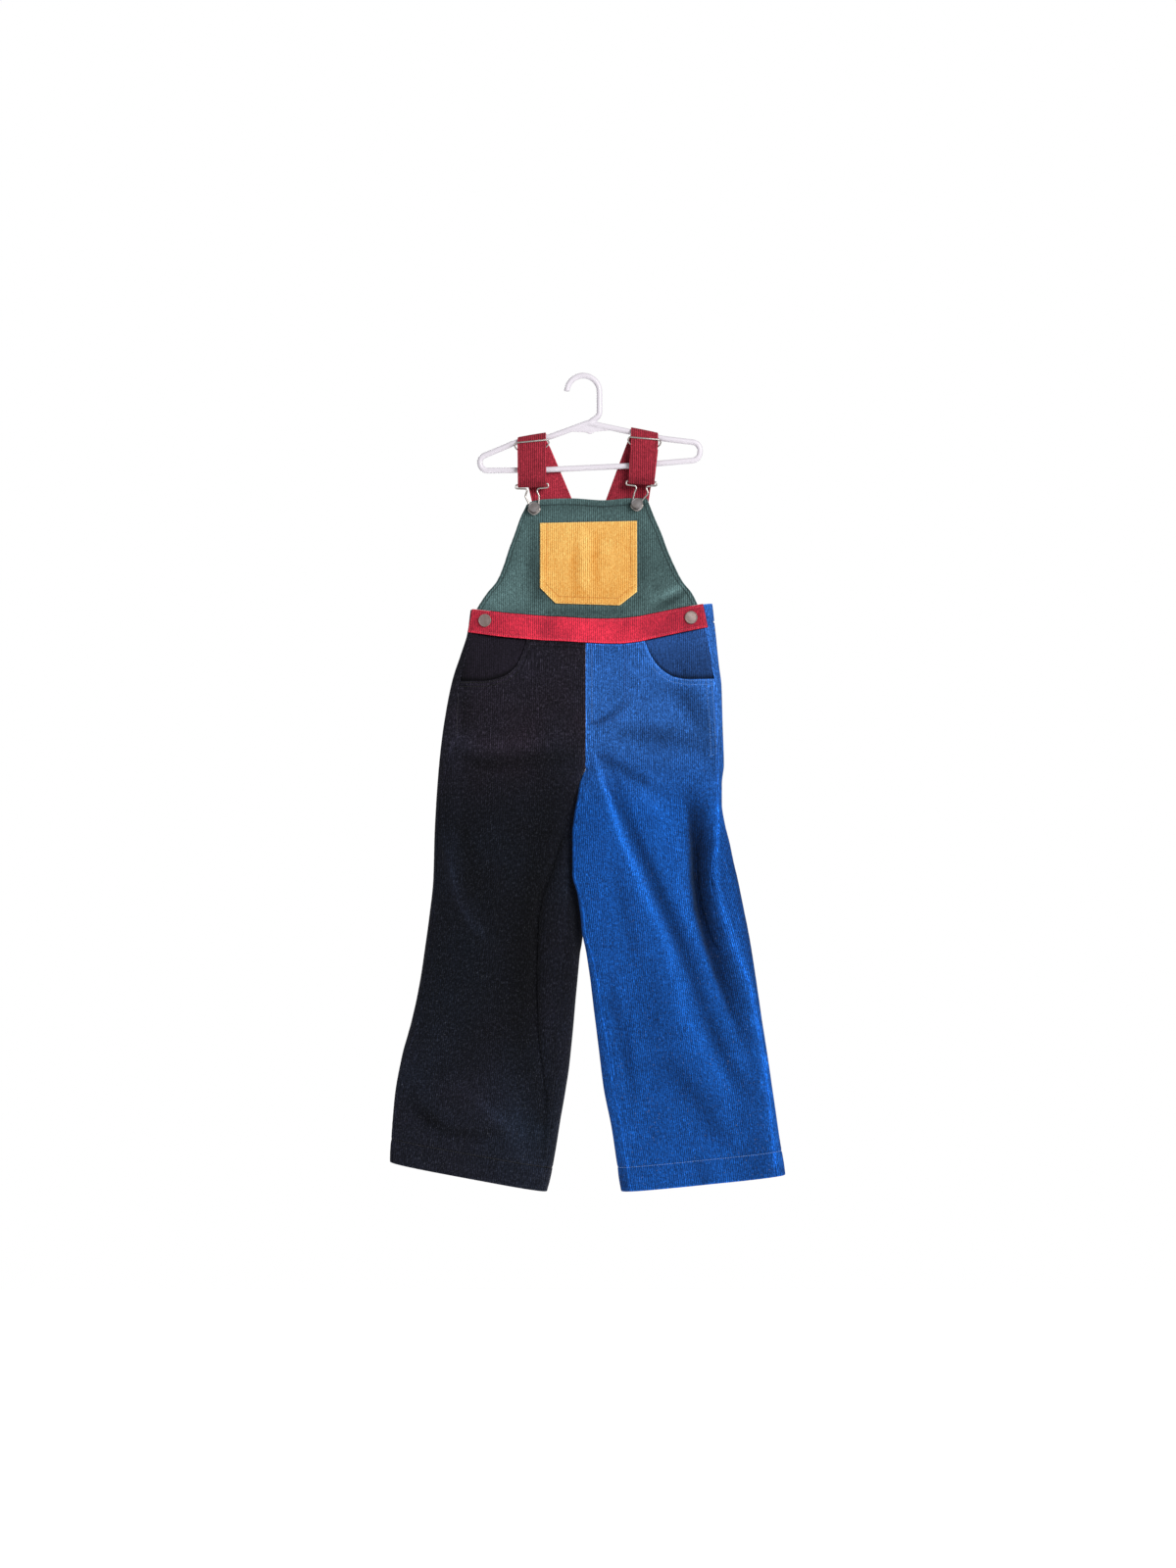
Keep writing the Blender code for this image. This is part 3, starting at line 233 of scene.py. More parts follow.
# Painted light and shade on the pile: the line of each patch, half of its width, and how
# much lighter it is painted, in stops of light, less than nothing for painted shade.
FRONT_PAINTED_LIGHT_LEFT = {
    "inner_shade": course(36, -474, 16, -0.35,  44, -540, 16, -0.7,  54, -600, 15, -1.1,
        66, -645, 15, -1.5,  70, -700, 16, -1.6,  74, -760, 18, -1.3,  78, -825, 20, -1.0,
        62, -862, 15, -0.8,  52, -905, 12, -0.6,  skew=0.35),
    "inner_light": course(14, -530, 7, 0.7,  17, -560, 7, 1.4,  20, -595, 7, 1.1,  27, -640, 7, 0.5,
        33, -690, 8, 0.4,  40, -735, 7, 0.35,  46, -790, 6, 0.2),
    "thigh_band": course(40, -447, 8, 0.1,  84, -449, 10, 0.55,  124, -453, 9, 0.5,  160, -445, 9, 0.6),
    "outer_highlights": course(158, -478, 6, 0.6,  156, -496, 6, 0.1,  158, -534, 7, 0.6,  160, -590, 7, 0.5,
        166, -636, 7, 0.4),
    "shin_shade": course(124, -740, 34, -0.1,  136, -800, 36, -0.5,  150, -838, 26, -0.6,
        184, -848, 14, -0.4),
    "low_light": course(84, -868, 12, 0.1,  86, -905, 11, 0.5,  80, -950, 12, 0.4,  62, -972, 9, 0.5),
    "low_crease": course(216, -880, 7, -0.4,  198, -904, 8, -0.7,  168, -920, 7, -0.6,
        134, -928, 7, -0.5,  104, -922, 8, -0.2),
    "inner_edge_shade": course(33, -790, 7, -0.2,  38, -830, 8, -0.8,  42, -890, 8, -0.9,
        47, -950, 8, -0.5),
    "crotch_light": course(2, -458, 5, 0.4,  4, -482, 6, 0.6,  8, -505, 6, 0.3),
    "pocket_shade": course(150, -332, 9, -0.6,  152, -362, 11, -0.9,  149, -400, 10, -0.8,
        147, -432, 9, -0.4),
    "thigh_line": course(176, -558, 4, 0.3,  166, -596, 4.5, 0.9,  156, -640, 4.5, 1.0,
        140, -670, 5, 0.9,  121, -686, 6, 0.5),
    "side_spots": course(154, -545, 7, -0.6,  147, -562, 8, -1.0,  140, -590, 8, -0.3,
        140, -630, 7, -0.6),
    "placket_light": course(151, -378, 3, 0.4,  154, -410, 3, 0.5,  155, -440, 3, 0.3),
    "hip_diagonal": course(80, -350, 7, 0.4,  60, -369, 7, 0.35,  38, -398, 8, -0.6,  30, -408, 8, -0.3),
    "low_diagonal": course(160, -868, 6, 0.3,  134, -884, 6, 0.5,  110, -904, 6, 0.7,  94, -918, 6, 0.4),
    "under_band": course(14, -463, 8, -0.5,  50, -466, 9, -0.5,  86, -471, 8, -0.4,  130, -474, 7, -0.5,
        160, -459, 5, -0.4),
    "scoop_rim": course(74, -330, 3, 0.3,  80, -348, 3, 0.6,  90, -364, 3.5, 0.6,  106, -374, 3.5, 0.6,
        128, -378, 3.5, 0.5,  158, -378, 3.5, 0.4),
}
FRONT_PAINTED_LIGHT_RIGHT = {
    "side_shade": course(122, -512, 9, -0.4,  129, -536, 12, -1.4,  131, -562, 15, -1.8,
        132, -610, 16, -2.0,  135, -648, 16, -1.9,  145, -684, 16, -1.6,  159, -728, 13, -1.4,
        176, -768, 11, -1.0,  192, -812, 8, -0.5,  skew=0.65),
    "long_shade": course(30, -500, 5, -0.4,  42, -524, 6, -0.6,  60, -560, 7, -0.8,  78, -598, 7, -0.8,
        92, -634, 8, -0.8,  106, -670, 9, -0.9,  118, -700, 9, -0.8,  134, -745, 9, -0.9,
        145, -775, 9, -0.8,  160, -808, 9, -1.1,  178, -843, 9, -0.9,  193, -868, 10, -0.5,
        204, -890, 10, 0.0),
    "inner_shade": course(36, -594, 8, -0.2,  46, -640, 8, -0.6,  55, -680, 8, -0.45,  62, -720, 8, -0.2,
        66, -760, 8, 0.0),
    "seam_shade": course(30, -735, 6, -0.2,  34, -765, 7, -0.7,  44, -805, 7, -0.6,  52, -850, 7, -0.45,
        58, -890, 7, -0.1),
    "second_light": course(64, -496, 7, 0.2,  80, -516, 9, 0.5,  92, -545, 9, 0.35,  94, -585, 9, 0.25,
        104, -612, 9, 0.35,  118, -648, 9, 0.2,  132, -684, 8, 0.1),
    "pocket_shade": course(104, -380, 9, -0.4,  124, -390, 15, -1.0,  142, -412, 14, -0.9,
        152, -440, 12, -0.7,  158, -480, 12, -0.5),
    "hip_shade": course(44, -432, 9, -0.3,  70, -436, 12, -0.7,  104, -438, 12, -0.6,
        130, -448, 10, -0.4),
    "back_shade": course(180, -560, 9, -0.5,  187, -600, 10, -1.2,  197, -650, 10, -1.3,
        208, -700, 9, -1.2,  216, -760, 8, -0.9,  224, -820, 8, -0.5),
    "low_shade": course(108, -842, 10, -0.4,  130, -872, 13, -0.9,  148, -900, 13, -0.9,
        166, -930, 12, -0.5),
    "low_side_shade": course(200, -880, 22, -0.1,  206, -930, 24, -0.35,  206, -975, 20, -0.6),
    "hem_shade": course(138, -960, 8, -0.4,  146, -985, 9, -0.8),
    "seam_light": course(160, -520, 4, 0.3,  161, -560, 4, 0.9,  159, -610, 4, 1.2,  168, -652, 4, 1.2,
        182, -692, 4, 0.9,  201, -740, 4, 0.8,  215, -810, 5, 0.6,  224, -870, 5, 0.5,
        234, -960, 5, 0.5),
    "ridge_line": course(10, -458, 3.5, 0.3,  18, -487, 3.5, 0.9,  28, -518, 4, 1.0,  43, -562, 5, 0.9,
        60, -602, 6, 0.8,  76, -640, 7, 0.6,  98, -690, 8, 0.5,  112, -745, 9, 0.5,  128, -800, 9, 0.5,
        144, -828, 9, 0.3,  190, -895, 10, 0.0),
    "hip_curve": course(14, -462, 6, -0.4,  44, -478, 7, -0.7,  70, -494, 8, -0.6,  84, -512, 8, -0.2),
    "hem_corner": course(46, -966, 7, -0.4,  46, -992, 8, -1.0),
    "scoop_rim": course(75, -330, 3.5, 0.3,  80, -347, 3.5, 0.4,  94, -365, 3.5, 0.4,
        112, -375, 3.5, 0.45,  130, -377, 3.5, 0.45,  158, -376, 3.5, 0.3),
    "fly_crease": course(6, -424, 3, -0.6,  20, -421, 3.5, -0.9,  34, -412, 4, -0.7,  46, -402, 5, -0.2),
}
BACK_PAINTED_LIGHT = {
    "inner_shade": course(40, -520, 18, -0.3,  54, -600, 20, -0.7,  66, -700, 22, -0.8,
        78, -800, 22, -0.4,  90, -880, 18, -0.1),
    "middle_light": course(110, -500, 12, 0.1,  104, -600, 14, 0.35,  118, -700, 14, 0.35,
        140, -800, 14, 0.2,  158, -900, 14, 0.1),
    "side_shade": course(150, -560, 12, -0.2,  152, -660, 13, -0.7,  170, -760, 13, -0.5,
        190, -860, 12, -0.1),
    "seat_light": course(30, -400, 18, 0.1,  76, -408, 22, 0.25,  124, -396, 18, 0.1),
    "edge_shade": course(156, -290, 8, -0.6,  162, -330, 8, -0.8,  165, -420, 9, -0.9,
        168, -500, 9, -0.7,  172, -580, 9, -0.3),
    "edge_line": course(151, -290, 2.5, -1.2,  159, -340, 2.5, -1.8,  160, -400, 2.5, -1.8,
        162, -465, 2.5, -1.6,  165, -520, 2.5, -0.8),
}

BIB_CREASES = {
    "corner_crease": course(86, -282, 3.5, 0.6,  102, -275, 4, 2.2,  122, -263, 4, 0.8),
    "corner_ridge": course(84, -272, 4, -0.5,  102, -265, 4.5, -2.0,  122, -253, 4.5, -0.5),
    "pocket_side_right": course(76, -206, 7, 0.2,  82, -236, 8, 1.2,  88, -262, 7, 0.3),
    "pocket_side_left": course(-66, -214, 7, 0.2,  -68, -246, 8, 1.3,  -60, -282, 7, 0.4),
    "left_swell": course(-96, -232, 11, -0.3,  -92, -258, 13, -1.2,  -84, -282, 11, -0.3),
}
# Painted light and shade on the bib, such as the pocket's painted shadow, and on the pocket.
BIB_PAINTED_LIGHT = {
    "left_light": course(-112, -272, 16, 0.5,  -88, -262, 18, 0.4,  -78, -230, 14, 0.1),
    "pocket_shade_left": course(-63, -180, 6, -0.3,  -64, -225, 7, -0.6,  -56, -268, 7, -0.6),
    "pocket_shade_foot": course(-44, -287, 5, -0.5,  0, -288, 5, -0.5,  46, -286, 5, -0.4),
    "pocket_shade_right": course(70, -190, 5, -0.3,  71, -240, 6, -0.5,  66, -270, 6, -0.4),
    "top_shade": course(-60, -160, 6, -0.35,  0, -158, 6, -0.4,  70, -157, 6, -0.3),
    "corner_ridge": course(80, -272, 4, 0.2,  102, -264, 4, 0.7,  124, -252, 4, 0.3),
    "corner_crease": course(84, -284, 4, -0.3,  104, -275, 4, -0.9,  124, -264, 4, -0.4),
    "right_fold": course(84, -196, 8, -0.2,  98, -222, 9, -0.4,  106, -246, 8, -0.2),
}
POCKET_PAINTED_LIGHT = {
    "left_furrow": course(-12, -184, 5, -0.15,  -13, -226, 6, -0.3,  -11, -262, 5, -0.2),
    "right_furrow": course(13, -190, 4, -0.1,  12, -216, 5, -0.3,  14, -258, 5, -0.2),
    "middle_swell": course(0, -190, 6, 0.1,  -1, -232, 7, 0.2,  1, -262, 6, 0.1),
    "left_rim": course(-55, -180, 2, 0.35,  -55.4, -256, 2, 0.35,  -37, -276, 2, 0.35),
    "right_rim": course(40, -279, 2, 0.3,  62, -262, 2, 0.35,  62.4, -180, 2, 0.3),
    "foot_shade": course(-20, -262, 9, -0.1,  20, -266, 9, -0.2,  44, -254, 8, -0.15),
}
POCKET_CREASES = {
    "left_furrow": course(-13, -186, 4, 0.2,  -14, -226, 5, 0.7,  -15, -268, 4, 0.3),
    "middle_swell": course(0, -190, 7, -0.2,  -1, -230, 8, -0.8,  2, -266, 7, -0.2),
    "right_furrow": course(15, -192, 4, 0.2,  13, -216, 5, 0.6,  14, -250, 4, 0.1),
}
YOKE_CREASES = {
    "left_pull": course(-40, -164, 6, 0.2,  -56, -208, 8, 0.9,  -72, -256, 8, 0.2),
    "right_pull": course(52, -164, 6, 0.2,  66, -208, 8, 0.9,  82, -256, 8, 0.2),
}

BIB_SIDES = table(
    "z left right",
    (-147, -70, 75), (-156, -72.6, 78.5), (-171, -79.8, 84.5), (-191, -87, 93.3),
    (-210, -94.2, 100.2), (-229, -100.4, 108.6), (-248, -108.6, 118.4),
    (-264, -121.6, 131), (-282, -133.6, 139.6))
BIB_TOP = table(
    "x z",
    (-72.6, -156), (-66, -151.5), (-51, -148.8), (-18.6, -147.6), (22.2, -150),
    (53.4, -147.6), (75, -147.6))
BIB_TOP_Y = -6.0
POCKET_LEFT, POCKET_RIGHT = -55.8, 63.0
POCKET_TOP_Z = -177.0
POCKET_TILT = 0.022
POCKET_FOOT = table("x z", (-55.8, -258), (-36.6, -277.2), (42, -279.6), (63, -262.8))
YOKE_SIDES = table(
    "z left right",
    (-156, -64.8, 76.8), (-180, -66, 79), (-210, -70, 84), (-240, -80, 93),
    (-265, -97, 108), (-279, -118, 130))
YOKE_TOP_Z = -156.0
YOKE_NOTCH = (4.2, -196.8)
YOKE_TOP_Y = 6.2
# A strap's back tone is the painted shadow on its back layer, in stops.
STRAP_LEFT = {
    "arm_z": -75.1, "arm_slope": 0.17, "slide_z": -78.6, "slide_slope": 0.094,
    "turn_z": -130.8, "turn_slope": 0.04, "yoke_z": -155.7, "phase": 0.5, "back_painted_shadow": 0.0,
    "top": (-83.4, -48.6), "turn": (-83.0, -48.0), "yoke": (-64.8, -13.3)}
STRAP_RIGHT = {
    "arm_z": -69.2, "arm_slope": -0.2065, "slide_z": -75.0, "slide_slope": -0.09,
    "turn_z": -127.4, "turn_slope": -0.04, "yoke_z": -155.7, "phase": 2.6, "back_painted_shadow": -0.36,
    "top": (55.8, 89.0), "turn": (52.2, 84.6), "yoke": (22.4, 76.8)}
STRAPS = {"left": STRAP_LEFT, "right": STRAP_RIGHT}
LOOP_Y = -7.65
LAYER_OFF = 2.5
BUTTON_SEATS = {"left": (-63.0, -162.0), "right": (63.0, -157.4)}
BUTTON_TILT = math.radians(26)
SIDE_BUTTON_SEATS = {"left": (-122.6, -298.0), "right": (128.5, -294.4)}
BAND_ENDS = {"left": (138.0, 143.4), "right": (143.4, 149.4)}
FRAME_CORNERS = [
    (3, -54.5, 6), (-43, -71.2, 16), (-86, -78.5, 30), (-131.5, -97.5, 9),
    (-127.5, -113.2, 9), (-48, -112, 60), (55, -107.2, 60), (139.5, -100, 10),
    (141.5, -79.3, 10), (96, -74, 60), (48, -64.1, 16)]
HOOK_STEM = (4.2, -54.6)
HOOK_BEND = (17.0, -45.2, 8)
HOOK_CENTRE = (-3.0, -16.4)
HOOK_RADIUS = 20.0
HOOK_SWEEP = math.radians(178)
WEB = [(-38, -69.5), (3, -55), (43, -64), (28, -63.8), (12, -65.4), (5.5, -68.6),
       (-1, -66), (-18, -65.4)]
WEB_THICK = 2.6

# About how wide and how long the pieces are, which sets how many points their grids have.
FRONT_WIDE = 185
BACK_WIDE = 235
FACING_LONG = 60
BIB_WIDE, BIB_LONG = 212, 142
POCKET_LONG = 92
BAND_WIDE, BAND_LONG = 285, 30
YOKE_WIDE, YOKE_LONG = 190, 120
STRAP_WIDE = 35

# Rows of stitches: how far each is from the edge beside it.
SCOOP_ROWS = (1.8, 6.6)
BACK_WAIST_ROW = 2.0
BIB_SIDE_ROWS = (6.2, 2.0)
BIB_TOP_ROW = 8.0
POCKET_ROWS = (1.7, 8.4)
BAND_ROW = 3.0
YOKE_SIDE_ROW = 8.0
YOKE_ROW = 3.0
STRAP_ROW = 2.6

# How high a thread lies on the cloth, how closely a laid row follows the cloth, and where
# the rays that find the cloth for it begin.
THREAD_LIFT = 0.15
LAID_LIFT = 0.12
LAID_STEP = 0.8
RAY_START_Y = -400.0

# A stitch: places along it in quarters of its length, and how high the thread lies at
# each, less than nothing where it dips into the cloth.
STITCH_PROFILE = ((0.0, -0.75), (0.55, 0.35), (1.6, 0.55), (2.65, 0.35), (3.2, -0.75))

# Each kind of cloth piece laid flat: its width, length and area, in metres.
CUTS = {
    "front_leg": (0.232, 0.735, 0.128),
    "back_leg": (0.27, 0.77, 0.168),
    "pocket_facing": (0.115, 0.095, 0.0072),
    "waistband": (0.31, 0.038, 0.0112),
    "bib": (0.3, 0.18, 0.036),
    "bib_pocket": (0.14, 0.13, 0.0165),
    "back_yoke": (0.26, 0.15, 0.0275),
    "strap": (0.042, 0.24, 0.0092),
}

# How far the slight waviness of worn cloth rises, and the share of a piece's height over
# which it and the creases fade out towards its top and foot.
LEG_WAVES = 0.32
UPPER_WAVES = 0.3
END_FADE = 0.06

# Heights between which the colour deepens, the low part of the legs begins, and lint grows
# denser, in metres, and the colour of lint.
DEEPENING_HEIGHTS = (-0.54, -0.42)
LOW_HEIGHTS = (-0.86, -0.72)
LINT_HEIGHTS = (-0.95, -0.5)
LINT_COLOUR = (0.4, 0.42, 0.48, 1)

FORWARD = np.array([0, -1.0, 0])
BACKWARD = np.array([0, 1.0, 0])

# Sewing threads, as they look on a screen. The quiet ones hardly differ from the cloth.
THREADS = {
    "hem_left": (36, 36, 42), "hem_right": (104, 140, 198),
    "front_left": (10, 9, 12), "front_right": (88, 134, 198),
    "quiet_left": (46, 44, 50), "quiet_right": (34, 78, 148),
    "bib": (40, 60, 62), "pocket": (214, 146, 66), "waistband": (212, 62, 84),
    "yoke": (168, 40, 58), "strap": (150, 40, 56),
}

# The stage, in metres: where the camera stands before it is moved back, what the lamps
# aim at, each lamp's place and size, and the light from all round as its colour and
# strength, first as it falls on things and then as the camera sees it.
CAMERA_START = (0.006, -0.01, -0.498)
LENS_MM, SENSOR_MM = 60, 36
LAMP_AIM = (0, 0, -0.55)
LAMPS = {
    "key": ((1.55, -2.3, 0.75), 1.3),
    "fill": ((-2.4, -1.8, -0.6), 2.0),
    "back": ((-0.9, 2.6, 0.5), 1.6),
}
DAYLIGHT = (((0.97, 0.98, 1, 1), 0.37), ((1, 1, 1, 1), 1.0))
FLOOR_SIZE = 3.0
FLOOR_GLOW = 0.75


# ---- settings

def linear(red, green, blue):
    """A colour given as it looks on a screen, 0 to 255, as Blender mixes it."""
    shares = [c / 255 for c in (red, green, blue)]
    return [s / 12.92 if s <= 0.04045 else ((s + 0.055) / 1.055) ** 2.4 for s in shares]


def colour_property(name, *screen):
    return bpy.props.FloatVectorProperty(
        name=name, description="Base colour: " + name.lower(), subtype="COLOR",
        size=3, min=0, max=1, default=linear(*screen))


def length_property(name, description, default, low, high):
    return bpy.props.FloatProperty(
        name=name, description=description, default=default, min=low, max=high,
        subtype="DISTANCE", unit="LENGTH")


def power_property(name, description, default):
    return bpy.props.FloatProperty(
        name=name, description=description, default=default, min=0.0, max=500.0, unit="POWER")


class ClothSettings(bpy.types.PropertyGroup):
    wale: length_property(
        "Wale", "Distance from one rib of the corduroy to the next", 0.0024, 0.001, 0.006)
    pile: length_property(
        "Pile", "Height of the ribs over the valleys between them", 0.0006, 0.0, 0.002)
    mesh_step: length_property(
        "Mesh step", "Distance between points on the trouser panels", 0.0028, 0.002, 0.01)
    stitch: length_property(
        "Stitch", "Length of a stitch with the gap after it", 0.0031, 0.002, 0.006)
    thread: length_property("Thread", "Thickness of the sewing thread", 0.00052, 0.0002, 0.001)
    black: colour_property("Black", 28, 24, 33)
    deep_black: colour_property("Black below the hips", 11, 13, 21)
    blue: colour_property("Blue", 42, 92, 166)
    deep_blue: colour_property("Blue below the hips", 18, 75, 152)
    green: colour_property("Green", 78, 102, 102)
    yellow: colour_property("Yellow", 229, 178, 98)
    band_red: colour_property("Waistband red", 216, 50, 72)
    strap_red: colour_property("Strap red", 172, 50, 66)


class HardwareSettings(bpy.types.PropertyGroup):
    button_metal: colour_property("Button metal", 134, 119, 115)
    hook_metal: colour_property("Hook button metal", 128, 124, 124)
    wire_metal: colour_property("Wire metal", 172, 167, 163)
    metal_roughness: bpy.props.FloatProperty(
        name="Metal roughness", description="How dull the buttons and wires are",
        default=0.5, min=0.05, max=1.0, subtype="FACTOR")
    plastic: colour_property("Plastic", 207, 201, 208)


class StageSettings(bpy.types.PropertyGroup):
    floor_drop: length_property(
        "Floor drop", "How far the floor lies below the hems", 0.47, 0.0, 2.0)
    camera_distance: length_property(
        "Camera distance", "From the camera to the garment's middle", 3.2, 1.0, 10.0)
    key_power: power_property("Key light", "Power of the large light at the upper right", 92.0)
    fill_power: power_property("Fill light", "Power of the soft light at the left", 8.0)
    back_power: power_property("Back light", "Power of the soft light behind the garment", 38.0)


# ---- the garment's form

def smooth(at, xs, ys):
    """A smooth curve through a table's rows, level beyond its ends."""
    at = np.clip(at, xs[0], xs[-1])
    slopes = np.diff(ys) / np.diff(xs)
    tangents = np.zeros_like(ys)
    turning = slopes[:-1] * slopes[1:]
    total = np.where(turning > 0, slopes[:-1] + slopes[1:], 1)
    tangents[1:-1] = np.where(turning > 0, 2 * turning / total, 0)
    tangents[0], tangents[-1] = slopes[0], slopes[-1]
    i = np.clip(np.searchsorted(xs, at, side="right") - 1, 0, len(xs) - 2)
    step = xs[i + 1] - xs[i]
    t = (at - xs[i]) / step
    return (ys[i] * (1 + 2 * t) * (1 - t) ** 2 + tangents[i] * step * t * (1 - t) ** 2
            + ys[i + 1] * t * t * (3 - 2 * t) + tangents[i + 1] * step * t * t * (t - 1))


def look(tab, column, at):
    """A column of a table at a value of its first column."""
    return smooth(np.asarray(at, float), next(iter(tab.values())), tab[column])


def crease_depth(creases, out, z):
    """How far the creases push the cloth into the garment at a place on it."""
    total = np.zeros(np.broadcast(out, z).shape)
    for line in creases.values():
        best = np.zeros_like(total)
        for i in range(len(line["z"]) - 1):
            ax, az = line["out"][i], line["z"][i]
            dx, dz = line["out"][i + 1] - ax, line["z"][i + 1] - az
            t = np.clip(((out - ax) * dx + (z - az) * dz) / (dx * dx + dz * dz), 0, 1)
            half = line["half"][i] + t * (line["half"][i + 1] - line["half"][i])
            half = half * (1 + line["skew"] * np.sign(dx * (z - az) - dz * (out - ax)))
            deep = line["deep"][i] + t * (line["deep"][i + 1] - line["deep"][i])
            away = np.hypot(out - ax - t * dx, z - az - t * dz) / half
            push = deep * np.exp(-away ** 2)
            best = np.where(np.abs(push) > np.abs(best), push, best)
        total += best
    return total


def unit(vectors):
    """Vectors made one long."""
    return vectors / np.linalg.norm(vectors, axis=-1, keepdims=True)


def end_fade(down):
    """1 over the middle of a piece's height, and 0 at its top and foot."""
    return np.clip(np.minimum(down, 1 - down) / END_FADE, 0, 1)


def travelled(points, axis=0):
    """Distance of each point from the beginning, along a line or the lines of a grid."""
    steps = np.linalg.norm(np.diff(points, axis=axis), axis=-1)
    return np.insert(np.cumsum(steps, axis=axis), 0, 0, axis=axis)


def between(values, row, column):
    """Values of a grid at places between its points, given in rows and columns."""
    r = np.clip(row.astype(int), 0, values.shape[0] - 2)
    c = np.clip(column.astype(int), 0, values.shape[1] - 2)
    shape = row.shape + (1,) * (values.ndim - 2)
    fr, fc = (row - r).reshape(shape), (column - c).reshape(shape)
    return ((values[r, c] * (1 - fc) + values[r, c + 1] * fc) * (1 - fr)
            + (values[r + 1, c] * (1 - fc) + values[r + 1, c + 1] * fc) * fr)


def crease_shading(deep):
    """Painted shade in a crease and a painted highlight on a ridge, in stops."""
    return np.where(deep > 0, -0.13, -0.07) * deep


def unevenness(out, z, size, phase=0.0):
    """The slight waviness of cloth that has been worn and washed."""
    long_waves = np.sin(out / 17.3 + 1.3 * np.sin(z / 41 + phase)) * np.sin(z / 29.1 + out / 55)
    short_waves = np.sin(out / 9.1 - z / 23.7 + phase) * np.sin(z / 13.9 + 0.7 * phase)
    return size * (long_waves + 0.45 * short_waves)


class Leg(SimpleNamespace):
    """One leg's closed section at each share v of its length, waist seam to hem.

    Along a section, q is 0 at the outer edge and 1 at the inner one over the front,
    and runs from 0 to -1 over the back. Above the crotch the section is open at the
    centre seam.
    """

    def heights(self, v):
        """Heights of a section's outer and inner edges."""
        z_out = self.waist_z + v * (self.hem_z - self.waist_z)
        z_in = WAIST_CENTRE_Z + v * (HEM_CENTRE_Z - WAIST_CENTRE_Z)
        return z_out, z_in

    def closure(self, v):
        """How far the section has closed at the crotch, 0 well above it and 1 below."""
        above = (self.heights(v)[1] - CROTCH_Z) / SADDLE
        return (1 - np.clip(above, 0, 1)) ** 2

    def span(self, v):
        """Middle of a section and half of its width, from the centre seam."""
        z_out, z_in = self.heights(v)
        edge_out = look(self.outer, "edge", z_out)
        edge_in = look(self.inner, "edge", z_in)
        return (edge_out + edge_in) / 2, (edge_out - edge_in) / 2

    def seam_q(self, v):
        """Where the front panel's outer and inner seams are."""
        z_out, z_in = self.heights(v)
        middle, half = self.span(v)
        seams = look(self.outer, "seam", z_out), look(self.inner, "seam", z_in)
        return [np.arccos(np.clip((s - middle) / half, -1, 1)) / np.pi for s in seams]

    def point(self, q, v):
        """Points on the outer side of the cloth."""
        q, v = np.broadcast_arrays(np.asarray(q, float), np.asarray(v, float))
        z_out, z_in = self.heights(v)
        middle, half = self.span(v)
        along, around = np.cos(np.pi * q), np.sin(np.pi * q)
        open_inside = np.where(along < 0, 1 - self.closure(v), 0)
        rise = np.sqrt(around ** 2 * (1 + along ** 2) * (1 - open_inside) + open_inside)
        inward = (1 - along) / 2
        out = middle + half * along
        waist = np.clip(1 - np.abs(v) / 0.25, 0, 1)
        z = z_out + (z_in - z_out) * inward - look(self.drop, "drop", out) * waist
        z_mid = (z_out + z_in) / 2
        on_front = around + 1e-9 * np.sign(q) >= 0
        on_front = np.where(np.abs(q) >= 1, (q >= 1) | (q < -1), on_front)
        reach = np.where(on_front, -look(DEPTH, "front", z_mid), look(DEPTH, "back", z_mid))
        hold = np.clip(rise * 1.4, 0, 1) ** 2
        waves = unevenness(out, z, LEG_WAVES, self.phase)
        waves = waves * np.clip(np.abs(along) * -8 + 8, 0, 1)
        push = np.where(on_front, crease_depth(self.creases, out, z) + waves,
                        -crease_depth(BACK_CREASES, out, z) - waves) * hold
        nest = look(DEPTH, self.nest, z_mid) * inward ** (1 / TUCK)
        return np.stack([CENTRE_X + self.side * out, nest + reach * rise + push, z], axis=-1)

    def tone(self, q, v):
        """Painted light and shade on the pile at a place, in stops: painted shade in creases, painted
        highlights on ridges, and the painted patches.
        """
        at = self.point(q, v)
        out, z = self.side * (at[..., 0] - CENTRE_X), at[..., 2]
        front = crease_depth(self.nap, out, z) + crease_shading(crease_depth(self.creases, out, z))
        back = crease_depth(BACK_PAINTED_LIGHT, out, z) + crease_shading(crease_depth(BACK_CREASES, out, z))
        return back + (front - back) * np.clip(0.5 + 4 * np.sin(np.pi * q), 0, 1)

    def normal(self, q, v):
        """Outward normals at single places."""
        along = self.point(q + 1e-3, v) - self.point(q - 1e-3, v)
        down = self.point(q, v + 1e-3) - self.point(q, v - 1e-3)
        return unit(self.side * np.cross(along, down))

    def columns(self, v, q_from, q_to, shares):
        """Places between two edges, each a hair inside, spaced by length and bend."""
        dense = q_from + (q_to - q_from) * np.linspace(0, 1, 241)
        line = self.point(dense, v)
        steps = np.diff(line, axis=0)
        length = np.linalg.norm(steps, axis=1)
        heading = np.unwrap(np.arctan2(steps[:, 1], steps[:, 0]))
        bend = np.concatenate([[0], np.abs(np.diff(heading))])
        weight = np.concatenate([[0], np.cumsum(length + 2.0 * bend)])
        travel = np.concatenate([[0], np.cumsum(length)])
        inset = np.interp([GAP / 3, travel[-1] - GAP / 30], travel, weight)
        return np.interp(inset[0] + shares * (inset[1] - inset[0]), weight, dense)

    def place(self, x, v):
        """The front's q at a distance x from the centre seam."""
        middle, half = self.span(v)
        return np.arccos(np.clip((self.side * x - middle) / half, -1, 1)) / np.pi

    def find(self, out, z):
        """q and v of a place on the front, out from the centre seam at a height."""
        out, z = np.asarray(out, float), np.asarray(z, float)
        v = (self.waist_z - z) / (self.waist_z - self.hem_z)
        for _ in range(8):
            q = self.place(self.side * out, v)
            v = v + (self.point(q, v)[..., 2] - z) / LEG_LONG
        return q, v

